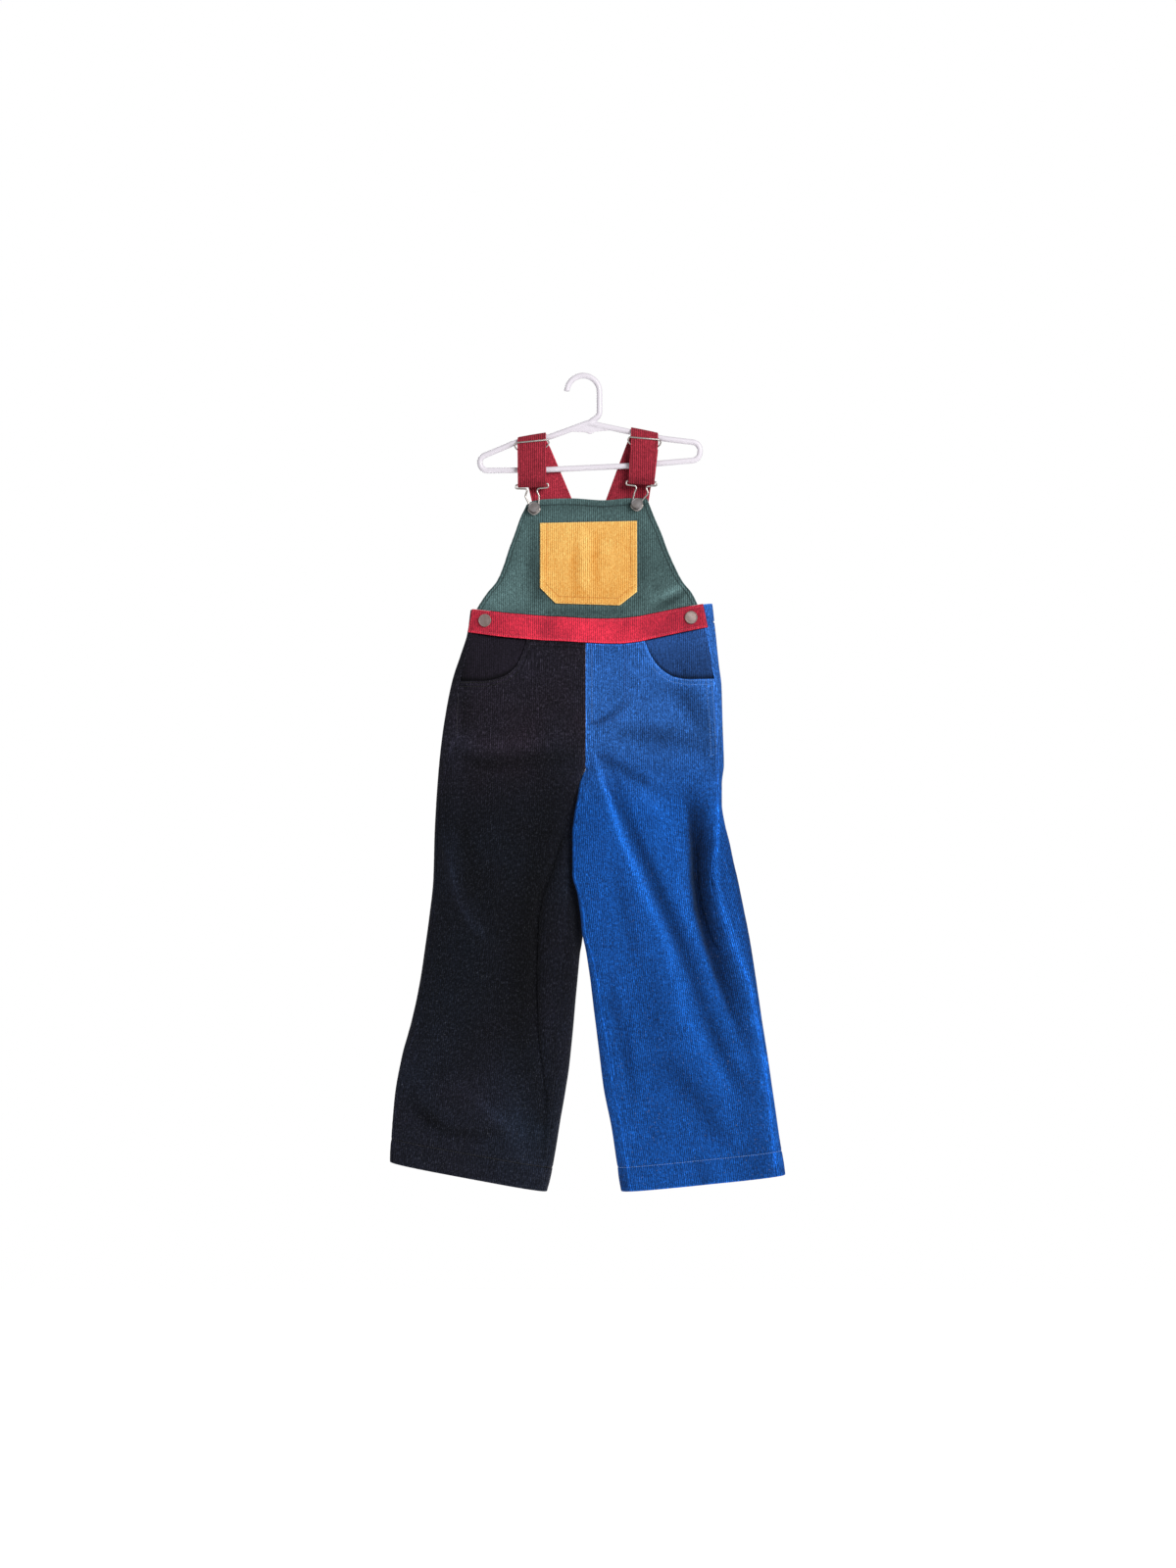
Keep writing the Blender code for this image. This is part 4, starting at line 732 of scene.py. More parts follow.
    def wale_place(self, q, v, back):
        """Distance across the cloth from the wale that follows the grain line."""
        heights = np.linspace(-0.06, 1.0, 120)
        turns = np.linspace(-2.0, 1.0, 361)
        travel = travelled(self.point(turns[None, :], heights[:, None]), axis=1)
        line_out = look(GRAIN_LINE, "out", self.heights(heights)[1])
        line_q = self.place(self.side * line_out, heights) * (-1 if back else 1)
        start = np.array([np.interp(line_q[i], turns, travel[i]) for i in range(len(heights))])
        travel = travel - start[:, None]
        row = np.clip((v - heights[0]) / (heights[1] - heights[0]), 0, len(heights) - 1.001)
        column = np.clip((q - turns[0]) / (turns[1] - turns[0]), 0, len(turns) - 1.001)
        return between(travel, row, column)


LEFT = Leg(side=-1, outer=LEFT_OUTER, inner=LEFT_INNER, nest="nest_left", drop=LEFT_DROP,
           waist_z=-312.0, hem_z=-962.5, creases=FRONT_CREASES_LEFT, nap=FRONT_PAINTED_LIGHT_LEFT,
           scoop=LEFT_SCOOP, phase=0.4)
RIGHT = Leg(side=1, outer=RIGHT_OUTER, inner=RIGHT_INNER, nest="nest_right", drop=RIGHT_DROP,
            waist_z=-307.0, hem_z=-978.0, creases=FRONT_CREASES_RIGHT, nap=FRONT_PAINTED_LIGHT_RIGHT,
            scoop=RIGHT_SCOOP, phase=2.1)
LEGS = {"left": LEFT, "right": RIGHT}

# Length of a leg at the centre seam, and about that at its side. Then shares of it: half
# of a seam's gap, where the front's rows are level again below the scoop, and the hem's
# stitching.
LEG_LONG = WAIST_CENTRE_Z - HEM_CENTRE_Z
SIDE_LONG = 660.0
SEAM_V = GAP / 2 / SIDE_LONG
SCOOP_END_V = 0.152
HEM_V = 1 - HEM_DEEP / LEG_LONG


def fine_ends(length, step, ends=(0.25, 0.6, 1.1, 1.8)):
    """Shares of a length: even steps, with a few short ones at both ends for a rolled edge."""
    count = max(2, round((length - 2 * ends[-1]) / step))
    middle = np.linspace(ends[-1], length - ends[-1], count + 1)
    near = np.array(ends[:-1])
    return np.concatenate([[0], near, middle, length - near[::-1], [length]]) / length


# ---- cloth as meshes

def grid_normals(points, towards):
    """Normals of a grid of points, on the side that a rough direction gives."""
    across = np.gradient(points, axis=1)
    down = np.gradient(points, axis=0)
    n = np.cross(across, down)
    n /= np.maximum(np.linalg.norm(n, axis=-1, keepdims=True), 1e-9)
    flip = np.where((n * towards).sum(axis=-1, keepdims=True) < 0, -1, 1)
    return n * flip


class Cloth:
    """A sheet as a grid of its outer points, with its normals, thickness and wales.

    Start, end, top and bottom are the distances from its edges, and side is that from the
    nearer of start and end. Tone is the light and shade painted on the pile, in stops: less
    than nothing for painted shade in a crease. Roll is how far from an edge the cloth begins
    to round off, and soft how much of that it does.
    """

    def __init__(self, points, normals, thick, wale_u, tone=0.0, roll=1.3):
        self.points = points
        self.normals = normals
        self.thick = np.broadcast_to(np.asarray(thick, float), points.shape[:2])
        self.start = travelled(points, axis=1)
        self.end = self.start[:, -1:] - self.start
        self.side = np.minimum(self.start, self.end)
        self.top = travelled(points, axis=0)
        self.bottom = self.top[-1:] - self.top
        self.wale_u = wale_u
        self.tone = np.broadcast_to(np.asarray(tone, float), points.shape[:2])
        self.soft = 1.0
        self.roll = roll

    def pucker(self, distance, where, amount, wave, reach, phase=0.0):
        """Small gathers that a seam pulls up in the cloth beside it."""
        swing = np.sin(2 * np.pi * where / wave + phase) + 0.5 * np.sin(where / 2.1 + phase)
        self.points = self.points + self.normals * (
            amount * np.exp(-distance / reach) * swing)[..., None]

    def lift(self, amount):
        """Move the sheet outwards."""
        self.points = self.points + self.normals * np.asarray(amount)[..., None]

    def surfaces(self):
        """Outer and inner points, drawn together where the edge is rolled."""
        near = np.minimum(np.minimum(self.side, self.top), self.bottom)
        share = np.clip(1 - near / self.roll, 0, 1)
        close = 0.92 * (1 - np.sqrt(1 - share ** 2)) * self.thick / 2 * self.soft
        close = close[..., None]
        outer = self.points - self.normals * close
        inner = self.points - self.normals * (self.thick[..., None] - close)
        return outer, inner


def sheet_mesh(name, cloth):
    """A closed shell from a sheet, with the attributes that its finish reads."""
    outer, inner = cloth.surfaces()
    rows, cols = outer.shape[:2]
    count = rows * cols
    index = np.arange(count).reshape(rows, cols)
    front = np.stack([index[:-1, :-1], index[:-1, 1:], index[1:, 1:], index[1:, :-1]], -1)
    front = front.reshape(-1, 4)
    ring = np.concatenate([index[0], index[1:, -1], index[-1, -2::-1], index[-2:0:-1, 0]])
    ahead = np.roll(ring, -1)
    rim = np.stack([ahead, ring, ring + count, ahead + count], -1)
    faces = np.concatenate([front, front[:, ::-1] + count, rim])
    points = np.concatenate([outer.reshape(-1, 3), inner.reshape(-1, 3)])
    middle = front[len(front) // 2]
    facing = np.cross(points[middle[1]] - points[middle[0]], points[middle[3]] - points[middle[0]])
    if facing @ cloth.normals.reshape(-1, 3)[middle[0]] < 0:
        faces = faces[:, ::-1]
    mesh = bpy.data.meshes.new(name)
    mesh.from_pydata((points * METRES).tolist(), [], faces.tolist())
    # The third value of grain is the tone as a factor: the piece's painted light and shade.
    grain = np.stack([cloth.wale_u, cloth.top, 2.0 ** cloth.tone], -1).reshape(-1, 3)
    edges = np.stack([cloth.side, cloth.top, cloth.bottom], -1).reshape(-1, 3)
    for label, values in (("grain", grain), ("edges", edges)):
        layer = mesh.attributes.new(label, "FLOAT_VECTOR", "POINT")
        layer.data.foreach_set("vector", np.concatenate([values, values]).ravel())
    mesh.shade_smooth()
    return mesh


def add_piece(name, mesh, finish, nodes):
    """Link a finished mesh as a piece that stands for its nodes."""
    piece = bpy.data.objects.new(name, mesh)
    bpy.context.scene.collection.objects.link(piece)
    return finish_piece(piece, finish, nodes)


def add_cloth(node, cloth, finish, rests_on):
    """A cloth piece, made into a mesh with its finish."""
    piece = add_piece(node + "_cloth", sheet_mesh(node + "_cloth", cloth), finish, [node])
    kind = node if node in CUTS else node.rsplit("_", 1)[0]
    return piece


# ---- stitching

def along_path(path, normals, step):
    """A path cut into quarters of stitches: places, normals and how many stitches."""
    length = travelled(path)
    count = max(2, int(length[-1] / step))
    at = np.linspace(0, length[-1], count * 4 + 1)
    places = np.stack([np.interp(at, length, path[:, i]) for i in range(3)], -1)
    ups = np.stack([np.interp(at, length, normals[:, i]) for i in range(3)], -1)
    return places, ups, count


def stitch_mesh(name, runs, stitch, thread):
    """Separate stitches along several runs, each a short thread that dips at both ends."""
    sides, rings = 5, len(STITCH_PROFILE)
    shares, heights = np.array(STITCH_PROFILE).T
    narrow = np.where(heights < 0, 0.5, 1.0)[:, None, None]
    heights = heights[:, None, None]
    angles = 2 * np.pi * np.arange(sides)[:, None] / sides
    start = np.arange(sides * (rings - 1)).reshape(rings - 1, sides)
    ahead = np.roll(start, -1, axis=1)
    quads = np.stack([start, ahead, ahead + sides, start + sides], -1).reshape(-1, 4)
    caps = [list(range(sides))[::-1], list(range(sides * (rings - 1), sides * rings))]
    faces = quads.tolist() + caps
    parts = []
    for path, normals in runs:
        places, ups, count = along_path(path, normals, stitch)
        marks = np.arange(len(places))
        at = 4 * np.arange(count)[:, None] + shares
        centre, n = (np.stack([np.interp(at, marks, line[:, i]) for i in range(3)], -1)
                     for line in (places, ups))
        way = unit(places[4::4] - places[:-4:4])[:, None]
        n = unit(n - way * (n * way).sum(axis=-1, keepdims=True))
        centre, n, b = centre[:, :, None], n[:, :, None], np.cross(way, n)[:, :, None]
        spoke = n * np.cos(angles) + b * np.sin(angles)
        parts.append(centre + n * heights * thread * 0.6 + spoke * thread / 2 * narrow)
    points = np.concatenate(parts).reshape(-1, 3)
    bases = range(0, len(points), sides * rings)
    mesh = bpy.data.meshes.new(name)
    mesh.from_pydata((points * METRES).tolist(), [],
                     [[base + corner for corner in face] for base in bases for face in faces])
    mesh.shade_smooth()
    return mesh


def add_stitching(name, runs, colour, settings):
    """One joined piece of all the stitches that share a thread."""
    mesh = stitch_mesh(name, runs, settings.stitch / METRES, settings.thread / METRES)
    return add_piece(name, mesh, thread_finish(name, colour), [])


def hem_run(cloth, rows):
    """A run of stitches along the row of a trouser panel's grid that is at its hem."""
    row = int(np.argmin(np.abs(rows - HEM_V)))
    normals = cloth.normals[row]
    return cloth.surfaces()[0][row] + normals * THREAD_LIFT, normals


def offset_run(cloth, line):
    """A run through a sheet where each (row, column) of a line is a place on its grid."""
    rows, cols = np.array(line, float).T
    normals = between(cloth.normals, rows, cols)
    return between(cloth.surfaces()[0], rows, cols) + normals * THREAD_LIFT, normals


def beside_edge(cloth, edge, distance, low=0.0, high=1.0):
    """A run at a distance from a sheet's start, end, top or bottom edge."""
    upright = edge in ("start", "end")
    values = getattr(cloth, edge) if upright else getattr(cloth, edge).T
    far = edge in ("end", "bottom")
    last = np.array(values.shape) - 1
    line = []
    for i in range(round(low * last[0]), round(high * last[0]) + 1):
        across = values[i, ::-1] if far else values[i]
        at = np.interp(distance, across, np.arange(last[1] + 1))
        at = last[1] - at if far else at
        line.append((i, at) if upright else (at, i))
    return offset_run(cloth, line)


def lay(piece, line):
    """A run laid on the front of a piece along a line of (x, z)."""
    mesh = piece.data
    points = np.zeros(len(mesh.vertices) * 3)
    mesh.vertices.foreach_get("co", points)
    points = points.reshape(-1, 3) / METRES
    tree = BVHTree.FromPolygons(points.tolist(), [list(p.vertices) for p in mesh.polygons])
    line = np.array(line, float)
    length = travelled(line)
    at = np.linspace(0, length[-1], max(3, int(length[-1] / LAID_STEP)))
    path, normals = [], []
    for x, z in zip(np.interp(at, length, line[:, 0]), np.interp(at, length, line[:, 1])):
        hit, normal = tree.ray_cast((CENTRE_X + x, RAY_START_Y, z), BACKWARD)[:2]
        if hit is None:
            continue
        if normal.y > 0:
            normal = -normal
        path.append(np.array(hit + normal * LAID_LIFT))
        normals.append(np.array(normal))
    return np.array(path), np.array(normals)


def inset(line, distance):
    """An open line of (x, z) moved sideways to its left, its corners kept sharp."""
    line = np.array(line, float)
    ways = unit(np.diff(line, axis=0))
    aside = np.stack([-ways[:, 1], ways[:, 0]], -1) * distance
    moved = [line[0] + aside[0]]
    for i in range(1, len(line) - 1):
        middle = aside[i - 1] + aside[i]
        moved.append(line[i] + middle * distance ** 2 / (middle @ aside[i]))
    moved.append(line[-1] + aside[-1])
    return moved


# ---- finishes

class Flow:
    """A socket in arithmetic: an expression on values adds its Math nodes."""

    def __init__(self, finish, socket):
        self.finish = finish
        self.socket = socket

    def math(self, operation, first, second=None):
        inputs = {"Value": first}
        if second is not None:
            inputs["Value_001"] = second
        return self.finish.node("ShaderNodeMath", {"operation": operation}, inputs)

    def __add__(self, other):
        return self.math("ADD", self, other)

    def __sub__(self, other):
        return self.math("SUBTRACT", self, other)

    def __rsub__(self, other):
        return self.math("SUBTRACT", other, self)

    def __mul__(self, other):
        return self.math("MULTIPLY", self, other)

    def __truediv__(self, other):
        return self.math("DIVIDE", self, other)

    def __pow__(self, other):
        return self.math("POWER", self, other)

    def __abs__(self):
        return self.math("ABSOLUTE", self)

    __radd__ = __add__
    __rmul__ = __mul__

    def least(self, other):
        return self.math("MINIMUM", self, other)

    def part(self):
        return self.math("FRACT", self)

    def stops(self):
        """A number of stops as how many times lighter that is."""
        return self.math("POWER", 2.0, self)

    def ramp(self, low, high):
        """0 below low, 1 above high, and a soft rise between them."""
        return self.finish.node(
            "ShaderNodeMapRange", {"interpolation_type": "SMOOTHSTEP"},
            {"Value": self, "From Min": low, "From Max": high})


class Finish:
    """A material, with one way to add a node of any kind to it."""

    def __init__(self, name):
        self.material = bpy.data.materials.new(name)
        self.material.use_nodes = True
        self.tree = self.material.node_tree
        self.tree.nodes.clear()

    @staticmethod
    def find(sockets, name):
        for socket in sockets:
            if socket.identifier == name:
                return socket
        return sockets[name]

    def node(self, kind, settings, inputs, output=None):
        """Add a node, set it, fill its sockets by name, and return one of its outputs."""
        new = self.tree.nodes.new(kind)
        for name, value in settings.items():
            setattr(new, name, value)
        for name, value in inputs.items():
            socket = self.find(new.inputs, name)
            if isinstance(value, Flow):
                self.tree.links.new(value.socket, socket)
            else:
                socket.default_value = value
        if not new.outputs:
            return None
        return Flow(self, self.find(new.outputs, output) if output else new.outputs[0])

    def attribute(self, name):
        return self.node("ShaderNodeAttribute", {"attribute_name": name}, {}, "Vector")

    def place(self):
        return self.node("ShaderNodeTexCoord", {}, {}, "Object")

    def parts(self, vector):
        first = self.node("ShaderNodeSeparateXYZ", {}, {"Vector": vector})
        return [Flow(self, socket) for socket in first.socket.node.outputs]

    def stretched(self, vector, factors):
        return self.node("ShaderNodeVectorMath", {"operation": "MULTIPLY"},
                         {"Vector": vector, "Vector_001": factors})

    def noise(self, vector, scale, detail=2.0):
        """Noise about zero, roughly from -0.5 to 0.5."""
        return self.node("ShaderNodeTexNoise", {}, {
            "Vector": vector, "Scale": scale, "Detail": detail}) - 0.5

    def scaled(self, colour, value):
        return self.node("ShaderNodeVectorMath", {"operation": "SCALE"},
                         {"Vector": colour, "Scale": value})

    def mixed(self, factor, first, second):
        return self.node(
            "ShaderNodeMix", {"data_type": "RGBA"},
            {"Factor_Float": factor, "A_Color": first, "B_Color": second}, "Result_Color")

    def bump(self, height):
        """Relief from a height in millimetres."""
        return self.node("ShaderNodeBump", {}, {
            "Strength": 1.0, "Distance": METRES, "Height": height})

    def surface(self, **inputs):
        named = {name.replace("_", " "): value for name, value in inputs.items()}
        shader = self.node("ShaderNodeBsdfPrincipled", {}, named)
        self.node("ShaderNodeOutputMaterial", {}, {"Surface": shader})
        return self.material


def corduroy(name, colour, settings, deep=None, contrast=1.0, valley=0.35, worn=0.2,
             lint=0.0, low_tone=0.0, sheen_tint=(0.5, 0.5, 0.55), lines=(), line_tone=-0.15,
             line_deep=0.45, spread=(1, 1, 1), drift=(0, 0, 0), fuzz=0.0):
    """Ribbed pile: uneven tufts on ribs along the grain, darker hollows, rubbed edges.

    Lines are rows of stitches: an edge (0 side, 1 top, 2 bottom) and the distance from it
    in millimetres. The deep colour takes over below the hips. Spread says how far red,
    green and blue each follow the light and dark of the pile, and drift how far each
    wanders over the piece. Lint is how strong its specks are, and fuzz the down between
    them.
    """
    finish = Finish(name)
    grain = finish.attribute("grain")
    across, _, tone = finish.parts(grain)
    flat_grain = finish.stretched(grain, (1.0, 1.0, 0.0))
    edges = finish.parts(finish.attribute("edges"))
    place = finish.place()
    height = finish.parts(place)[2]
    wander = finish.noise(flat_grain, 0.03) * 2.2 + finish.noise(flat_grain, 0.3, 1.0) * 0.45
    rib_place = ((across + wander) / (settings.wale / METRES)).part()
    rib = 1 - (abs(rib_place - 0.5) * 2) ** 2.2
    streaks = finish.noise(finish.stretched(grain, (0.42, 0.05, 0.0)), 1.0)
    tufts = finish.noise(finish.stretched(grain, (0.55, 0.27, 0.0)), 1.0)
    fibre = finish.noise(place, 1100.0, 1.0)
    frayed = finish.noise(finish.stretched(grain, (0.55, 0.05, 0.0)), 1.0).ramp(0.02, 0.2)
    patches = finish.noise(place, 42.0, 3.0)
    clouds = finish.noise(place, 9.0, 2.0)
    uneven = (streaks * 1.2 + tufts * 2.7 + fibre * 2.4) * contrast
    # The tone from the mesh is painted light and shade, multiplied into the colour.
    light = (uneven + patches * 0.7 + clouds * 0.5).stops() * tone
    # Hollows between ribs painted darker: partly their bare ground, partly painted shade.
    light = light * (rib * (1 - valley) + valley)
    edge = edges[0].least(edges[1]).least(edges[2])
    light = light * ((1 - edge.ramp(0.4, 2.6)) * worn + 1) * (edge.ramp(0.0, 0.5) * 0.2 + 0.8)
    light = light * ((1 - edges[0].ramp(2.0, 17.0)) * frayed * worn * 1.1 + 1)
    relief = rib * (settings.pile / METRES) + tufts * 0.5 + fibre * 0.15 + streaks * 0.2
    # Line tone paints each row darker or lighter: below nothing it is painted shade in the dent under
    # the stitches.
    for which, distance in lines:
        groove = 1 - abs(edges[which] - distance).ramp(0.1, 1.3)
        light = light * (groove * line_tone + 1)
        relief = relief - groove * line_deep
    if low_tone:
        light = light * ((1 - height.ramp(*LOW_HEIGHTS)) * low_tone + 1)
    followed = finish.node("ShaderNodeVectorMath", {"operation": "MULTIPLY_ADD"}, {
        "Vector": light - 1, "Vector_001": spread, "Vector_002": (1, 1, 1)})
    colouring = (*(deep or colour), 1), (*colour, 1)
    shade = finish.stretched(finish.mixed(height.ramp(*DEEPENING_HEIGHTS), *colouring), followed)
    if any(drift):
        shade = finish.stretched(shade, finish.node(
            "ShaderNodeVectorMath", {"operation": "MULTIPLY_ADD"},
            {"Vector": clouds, "Vector_001": drift, "Vector_002": (1, 1, 1)}))
    if lint:
        specks = finish.noise(place, 640.0, 0.0).ramp(0.27, 0.34)
        specks = specks * ((1 - height.ramp(*LINT_HEIGHTS)) * 0.7 + 0.3) * lint
        down = (tufts + fibre * 0.6).ramp(0.0, 0.36) * fuzz
        shade = finish.mixed(specks + down, shade, LINT_COLOUR)
    return finish.surface(Base_Color=shade, Roughness=0.92, Normal=finish.bump(relief),
        Sheen_Weight=0.08, Sheen_Roughness=0.45, Sheen_Tint=(*sheen_tint, 1),
        Specular_IOR_Level=0.1)


def thread_finish(name, colour):
    """Spun sewing thread with a slight twist and uneven dye."""
    finish = Finish(name)
    place = finish.place()
    twist = finish.noise(place, 2400.0, 1.0)
    colouring = finish.noise(place, 60.0, 2.0)
    return finish.surface(
        Base_Color=finish.scaled(tuple(linear(*colour)), twist * 0.4 + colouring * 0.5 + 1.0),
        Roughness=0.75, Normal=finish.bump(twist * 0.08), Sheen_Weight=0.1)


def nickel(name, screen, metallic, roughness):
    """Worn nickel plate: bright where it is rubbed, duller and browner in between."""
    finish = Finish(name)
    place = finish.place()
    tarnish = finish.noise(place, 220.0, 3.0)
    scratches = finish.noise(finish.stretched(place, (1.0, 1.0, 6.0)), 900.0, 2.0)
    dull = tuple(c * s for c, s in zip(screen, (0.8, 0.76, 0.72)))
    return finish.surface(
        Base_Color=finish.mixed(tarnish.ramp(-0.12, 0.2), (*screen, 1), (*dull, 1)),
        Metallic=metallic, Roughness=tarnish * 0.2 + scratches * 0.2 + roughness,
        Normal=finish.bump(tarnish * 0.03 + scratches * 0.03))


def moulded_plastic(name, settings):
    """Satin white plastic with faint flow marks and small scuffs."""
    finish = Finish(name)
    place = finish.place()
    flow = finish.noise(finish.stretched(place, (1.0, 3.0, 3.0)), 25.0, 3.0)
    scuffs = finish.noise(place, 380.0, 3.0)
    return finish.surface(
        Base_Color=finish.scaled(tuple(settings.plastic), flow * 0.1 + scuffs * 0.05 + 1.0),
        Roughness=flow * 0.12 + scuffs * 0.15 + 0.4, Normal=finish.bump(scuffs * 0.03),
        Coat_Weight=0.15)


# ---- trouser panels

def panel_table(leg, back, shares):
    """q at shares of a panel's width, at many heights along the leg."""
    heights = np.linspace(BACK_TOP - 0.002, 1.0, 320)
    found = []
    for v in heights:
        q_out, q_in = leg.seam_q(v)
        if back:
            q_in = -1.0 if leg.closure(v) < 1 else q_in - 2
        found.append(leg.columns(v, q_out, q_in, shares))
    return heights, np.array(found)


def read_table(places, v):
    """q of each column of a grid of heights v."""
    heights, found = places
    return np.stack([np.interp(v[:, j], heights, found[:, j]) for j in range(v.shape[1])], axis=1)


def panel_rows(top, step):
    """Shares of the leg's length, closest at the edges and beside the hem's stitching."""
    rows = top + fine_ends((1 - top) * LEG_LONG, step) * (1 - top)
    rows = rows[np.abs(rows - HEM_V) * LEG_LONG > 3.4]
    beside = np.array([-2.8, -1.9, -1.2, -0.6, 0, 0.6, 1.2, 1.9, 2.8])
    return np.sort(np.concatenate([rows, HEM_V + beside / LEG_LONG]))


def scoop_tops(leg, places):
    """Where along the leg the front panel begins, at each column."""
    tops = np.full(places[1].shape[1], SEAM_V)
    for _ in range(16):
        q = read_table(places, tops[None, :])[0]
        at = leg.point(q, tops)
        out = leg.side * (at[:, 0] - CENTRE_X)
        lower = np.maximum(SEAM_V, tops + (at[:, 2] - look(leg.scoop, "z", out)) / LEG_LONG)
        tops = np.where(out < leg.scoop["out"][0] - 0.5, SEAM_V, lower)
    return tops


def pulled_down(rows, top):
    """Rows of a column that begins at its own top, the same as all others' lower down."""
    pulled = SCOOP_END_V - (SCOOP_END_V - rows) * (SCOOP_END_V - top) / (SCOOP_END_V - SEAM_V)
    return np.where(rows < SCOOP_END_V, pulled, rows)


def leg_normals(leg, q, v, points):
    """Outward normals of a panel's grid, which never lean over to the other leg."""
    middle = CENTRE_X + leg.side * leg.span(v)[0]
    centre = np.stack([middle, np.zeros_like(middle), points[..., 2]], -1)
    normals = grid_normals(points, points - centre)
    leans = (np.abs(q) > 0.985) & (leg.closure(v) < 1) & (normals[..., 0] * leg.side > 0)
    normals[..., 0] = np.where(leans, 0, normals[..., 0])
    return unit(normals)


def leg_cloth(leg, q, v, back):
    """A trouser panel with its hem, its seams' puckers and its wales."""
    points = leg.point(q, v)
    normals = leg_normals(leg, q, v, points)
    near = np.hypot(points[..., 0] - CENTRE_X, points[..., 2] - CROTCH_Z) / CROTCH_THINS
    thick = CROTCH_CLOTH + (CLOTH - CROTCH_CLOTH) * np.clip(near, 0, 1) ** 2
    below = (v - HEM_V) * LEG_LONG
    thick = thick + (HEM_CLOTH - CLOTH) * np.clip(below / 2.0 - 0.5, 0, 1)
    wale_u = leg.wale_place(q, v, back)
    cloth = Cloth(points, normals, thick, wale_u, leg.tone(q, v), roll=1.5)
    # Near the crotch the panels meet close to the centre, and their edges stay square.
    low = np.clip((-425 - points[..., 2]) / 15, 0, 1) * np.clip((points[..., 2] + 520) / 12, 0, 1)
    cloth.soft = 1 - low * np.exp(-((points[..., 0] - CENTRE_X) / 8) ** 2)
    gathers = np.sin(2 * np.pi * wale_u / 9.5 + 0.9 * np.sin(wale_u / 23 + leg.phase))
    gathers = gathers + 0.5 * np.sin(wale_u / 2.6 + leg.phase)
    in_hem = np.clip(below / HEM_DEEP, 0, 1)
    cloth.lift(-0.6 * np.exp(-(below / 1.3) ** 2) + 0.26 * gathers * np.exp(-(below / 6.0) ** 2)
               + 0.45 * np.sin(np.pi * in_hem) + 0.14 * gathers * in_hem)
    along = v * LEG_LONG
    cloth.pucker(cloth.start, along, 0.24, 9.0, 5.0, leg.phase)
    cloth.pucker(cloth.end, along, 0.2 * cloth.soft, 10.5, 5.0, leg.phase + 1.0)
    return cloth


def true_edge(cloth, edge):
    """Measure the distance from the top or bottom edge straight, not down the columns."""
    line = cloth.points[0 if edge == "top" else -1]
    values = getattr(cloth, edge)
    close = values < 40
    spots = cloth.points[close]
    best = np.full(len(spots), 1e9)
    for a, b in zip(line[:-1], line[1:]):
        way = b - a
        t = np.clip(((spots - a) @ way) / (way @ way), 0, 1)
        best = np.minimum(best, np.linalg.norm(spots - a - t[:, None] * way, axis=1))
    values = values.copy()
    values[close] = np.minimum(best, values[close])
    setattr(cloth, edge, values)


def leg_line(leg, out_z):
    """A line of (out, z) on a leg as (x, z) from the centre seam."""
    return [(leg.side * out, z) for out, z in out_z]


def trouser_looks(settings, key):
    """What the corduroy of a leg's panels has in common."""
    if key == "left":
        return {"colour": tuple(settings.black), "deep": tuple(settings.deep_black),
                "contrast": 1.7, "lint": 0.1, "low_tone": 0.95, "line_tone": -0.55,
                "worn": 0.45, "fuzz": 0.035, "drift": (-0.55, 0.35, 0.45),
                "sheen_tint": (0.5, 0.5, 0.6)}
    return {"colour": tuple(settings.blue), "deep": tuple(settings.deep_blue),
            "contrast": 1.35, "lint": 0.2, "low_tone": -0.06, "line_tone": 0.25,
            "worn": 0.7, "sheen_tint": (0.3, 0.55, 1.0)}


def laid_lines(key, leg):
    """Rows that show along the centre seam and placket, and the mock fly's quiet ones."""
    if key == "left":
        return [], [leg_line(leg, [(155.5, -374), (157.6, -440)])]
    fly = [(52, -329), (52.4, -396), (49, -409), (41, -418), (27, -423.5), (8.6, -426.5)]
    placket = [(147, -368), (151, -410), (153.5, -462)]
    beside_placket = [(a + 6.5, b) for a, b in placket]
    bar = [(150.5, -463.5), (158.5, -462)]
    beside_fly = [(a - 4.6 if a > 40 else a, b + (4.6 if a < 50 else 0)) for a, b in fly]
    return ([leg_line(leg, line) for line in
             ([(7.6, -329), (7.8, -424)], placket, beside_placket, bar)],
            [leg_line(leg, line) for line in (fly, beside_fly[:5] + [(8.6, -421.5)])])


class OVERALLS_OT_trouser_fronts(bpy.types.Operator):
    """Two front panels, cut away for the hip pockets, with their hems and topstitching"""
    bl_idname = "overalls.trouser_fronts"
    bl_label = "Trouser fronts"

    def execute(self, context):
        settings = context.scene.overalls_cloth
        step = settings.mesh_step / METRES
        shares = fine_ends(FRONT_WIDE, step)
        rows = panel_rows(SEAM_V, step)
        near, far = SCOOP_ROWS
        for key, leg in LEGS.items():
            places = panel_table(leg, False, shares)
            tops = scoop_tops(leg, places)
            v = np.stack([pulled_down(rows, top) for top in tops], axis=1)
            cloth = leg_cloth(leg, read_table(places, v), v, False)
            true_edge(cloth, "top")
            finish = corduroy("front_pile_" + key, settings=settings,
                              lines=[(2, HEM_DEEP), (1, near), (1, far)],
                              **trouser_looks(settings, key))
            piece = add_cloth("front_leg_" + key, cloth, finish,
                              ["waistband", "back_leg_" + key])
            high = np.nonzero(tops > SEAM_V * 3)[0].max() / (len(shares) - 1)
            plain_lines, quiet_lines = laid_lines(key, leg)
            runs = [beside_edge(cloth, "top", near, 0.02, high),
                    beside_edge(cloth, "top", far, 0.02, high - 0.02)]
            runs += [lay(piece, line) for line in plain_lines]
            quiet = [lay(piece, line) for line in quiet_lines]
            add_stitching("front_hem_thread_" + key, [hem_run(cloth, rows)],
                          THREADS["hem_" + key], settings)
            add_stitching("front_thread_" + key, runs, THREADS["front_" + key], settings)
            add_stitching("front_quiet_thread_" + key, quiet, THREADS["quiet_" + key],
                          settings)
        return {"FINISHED"}


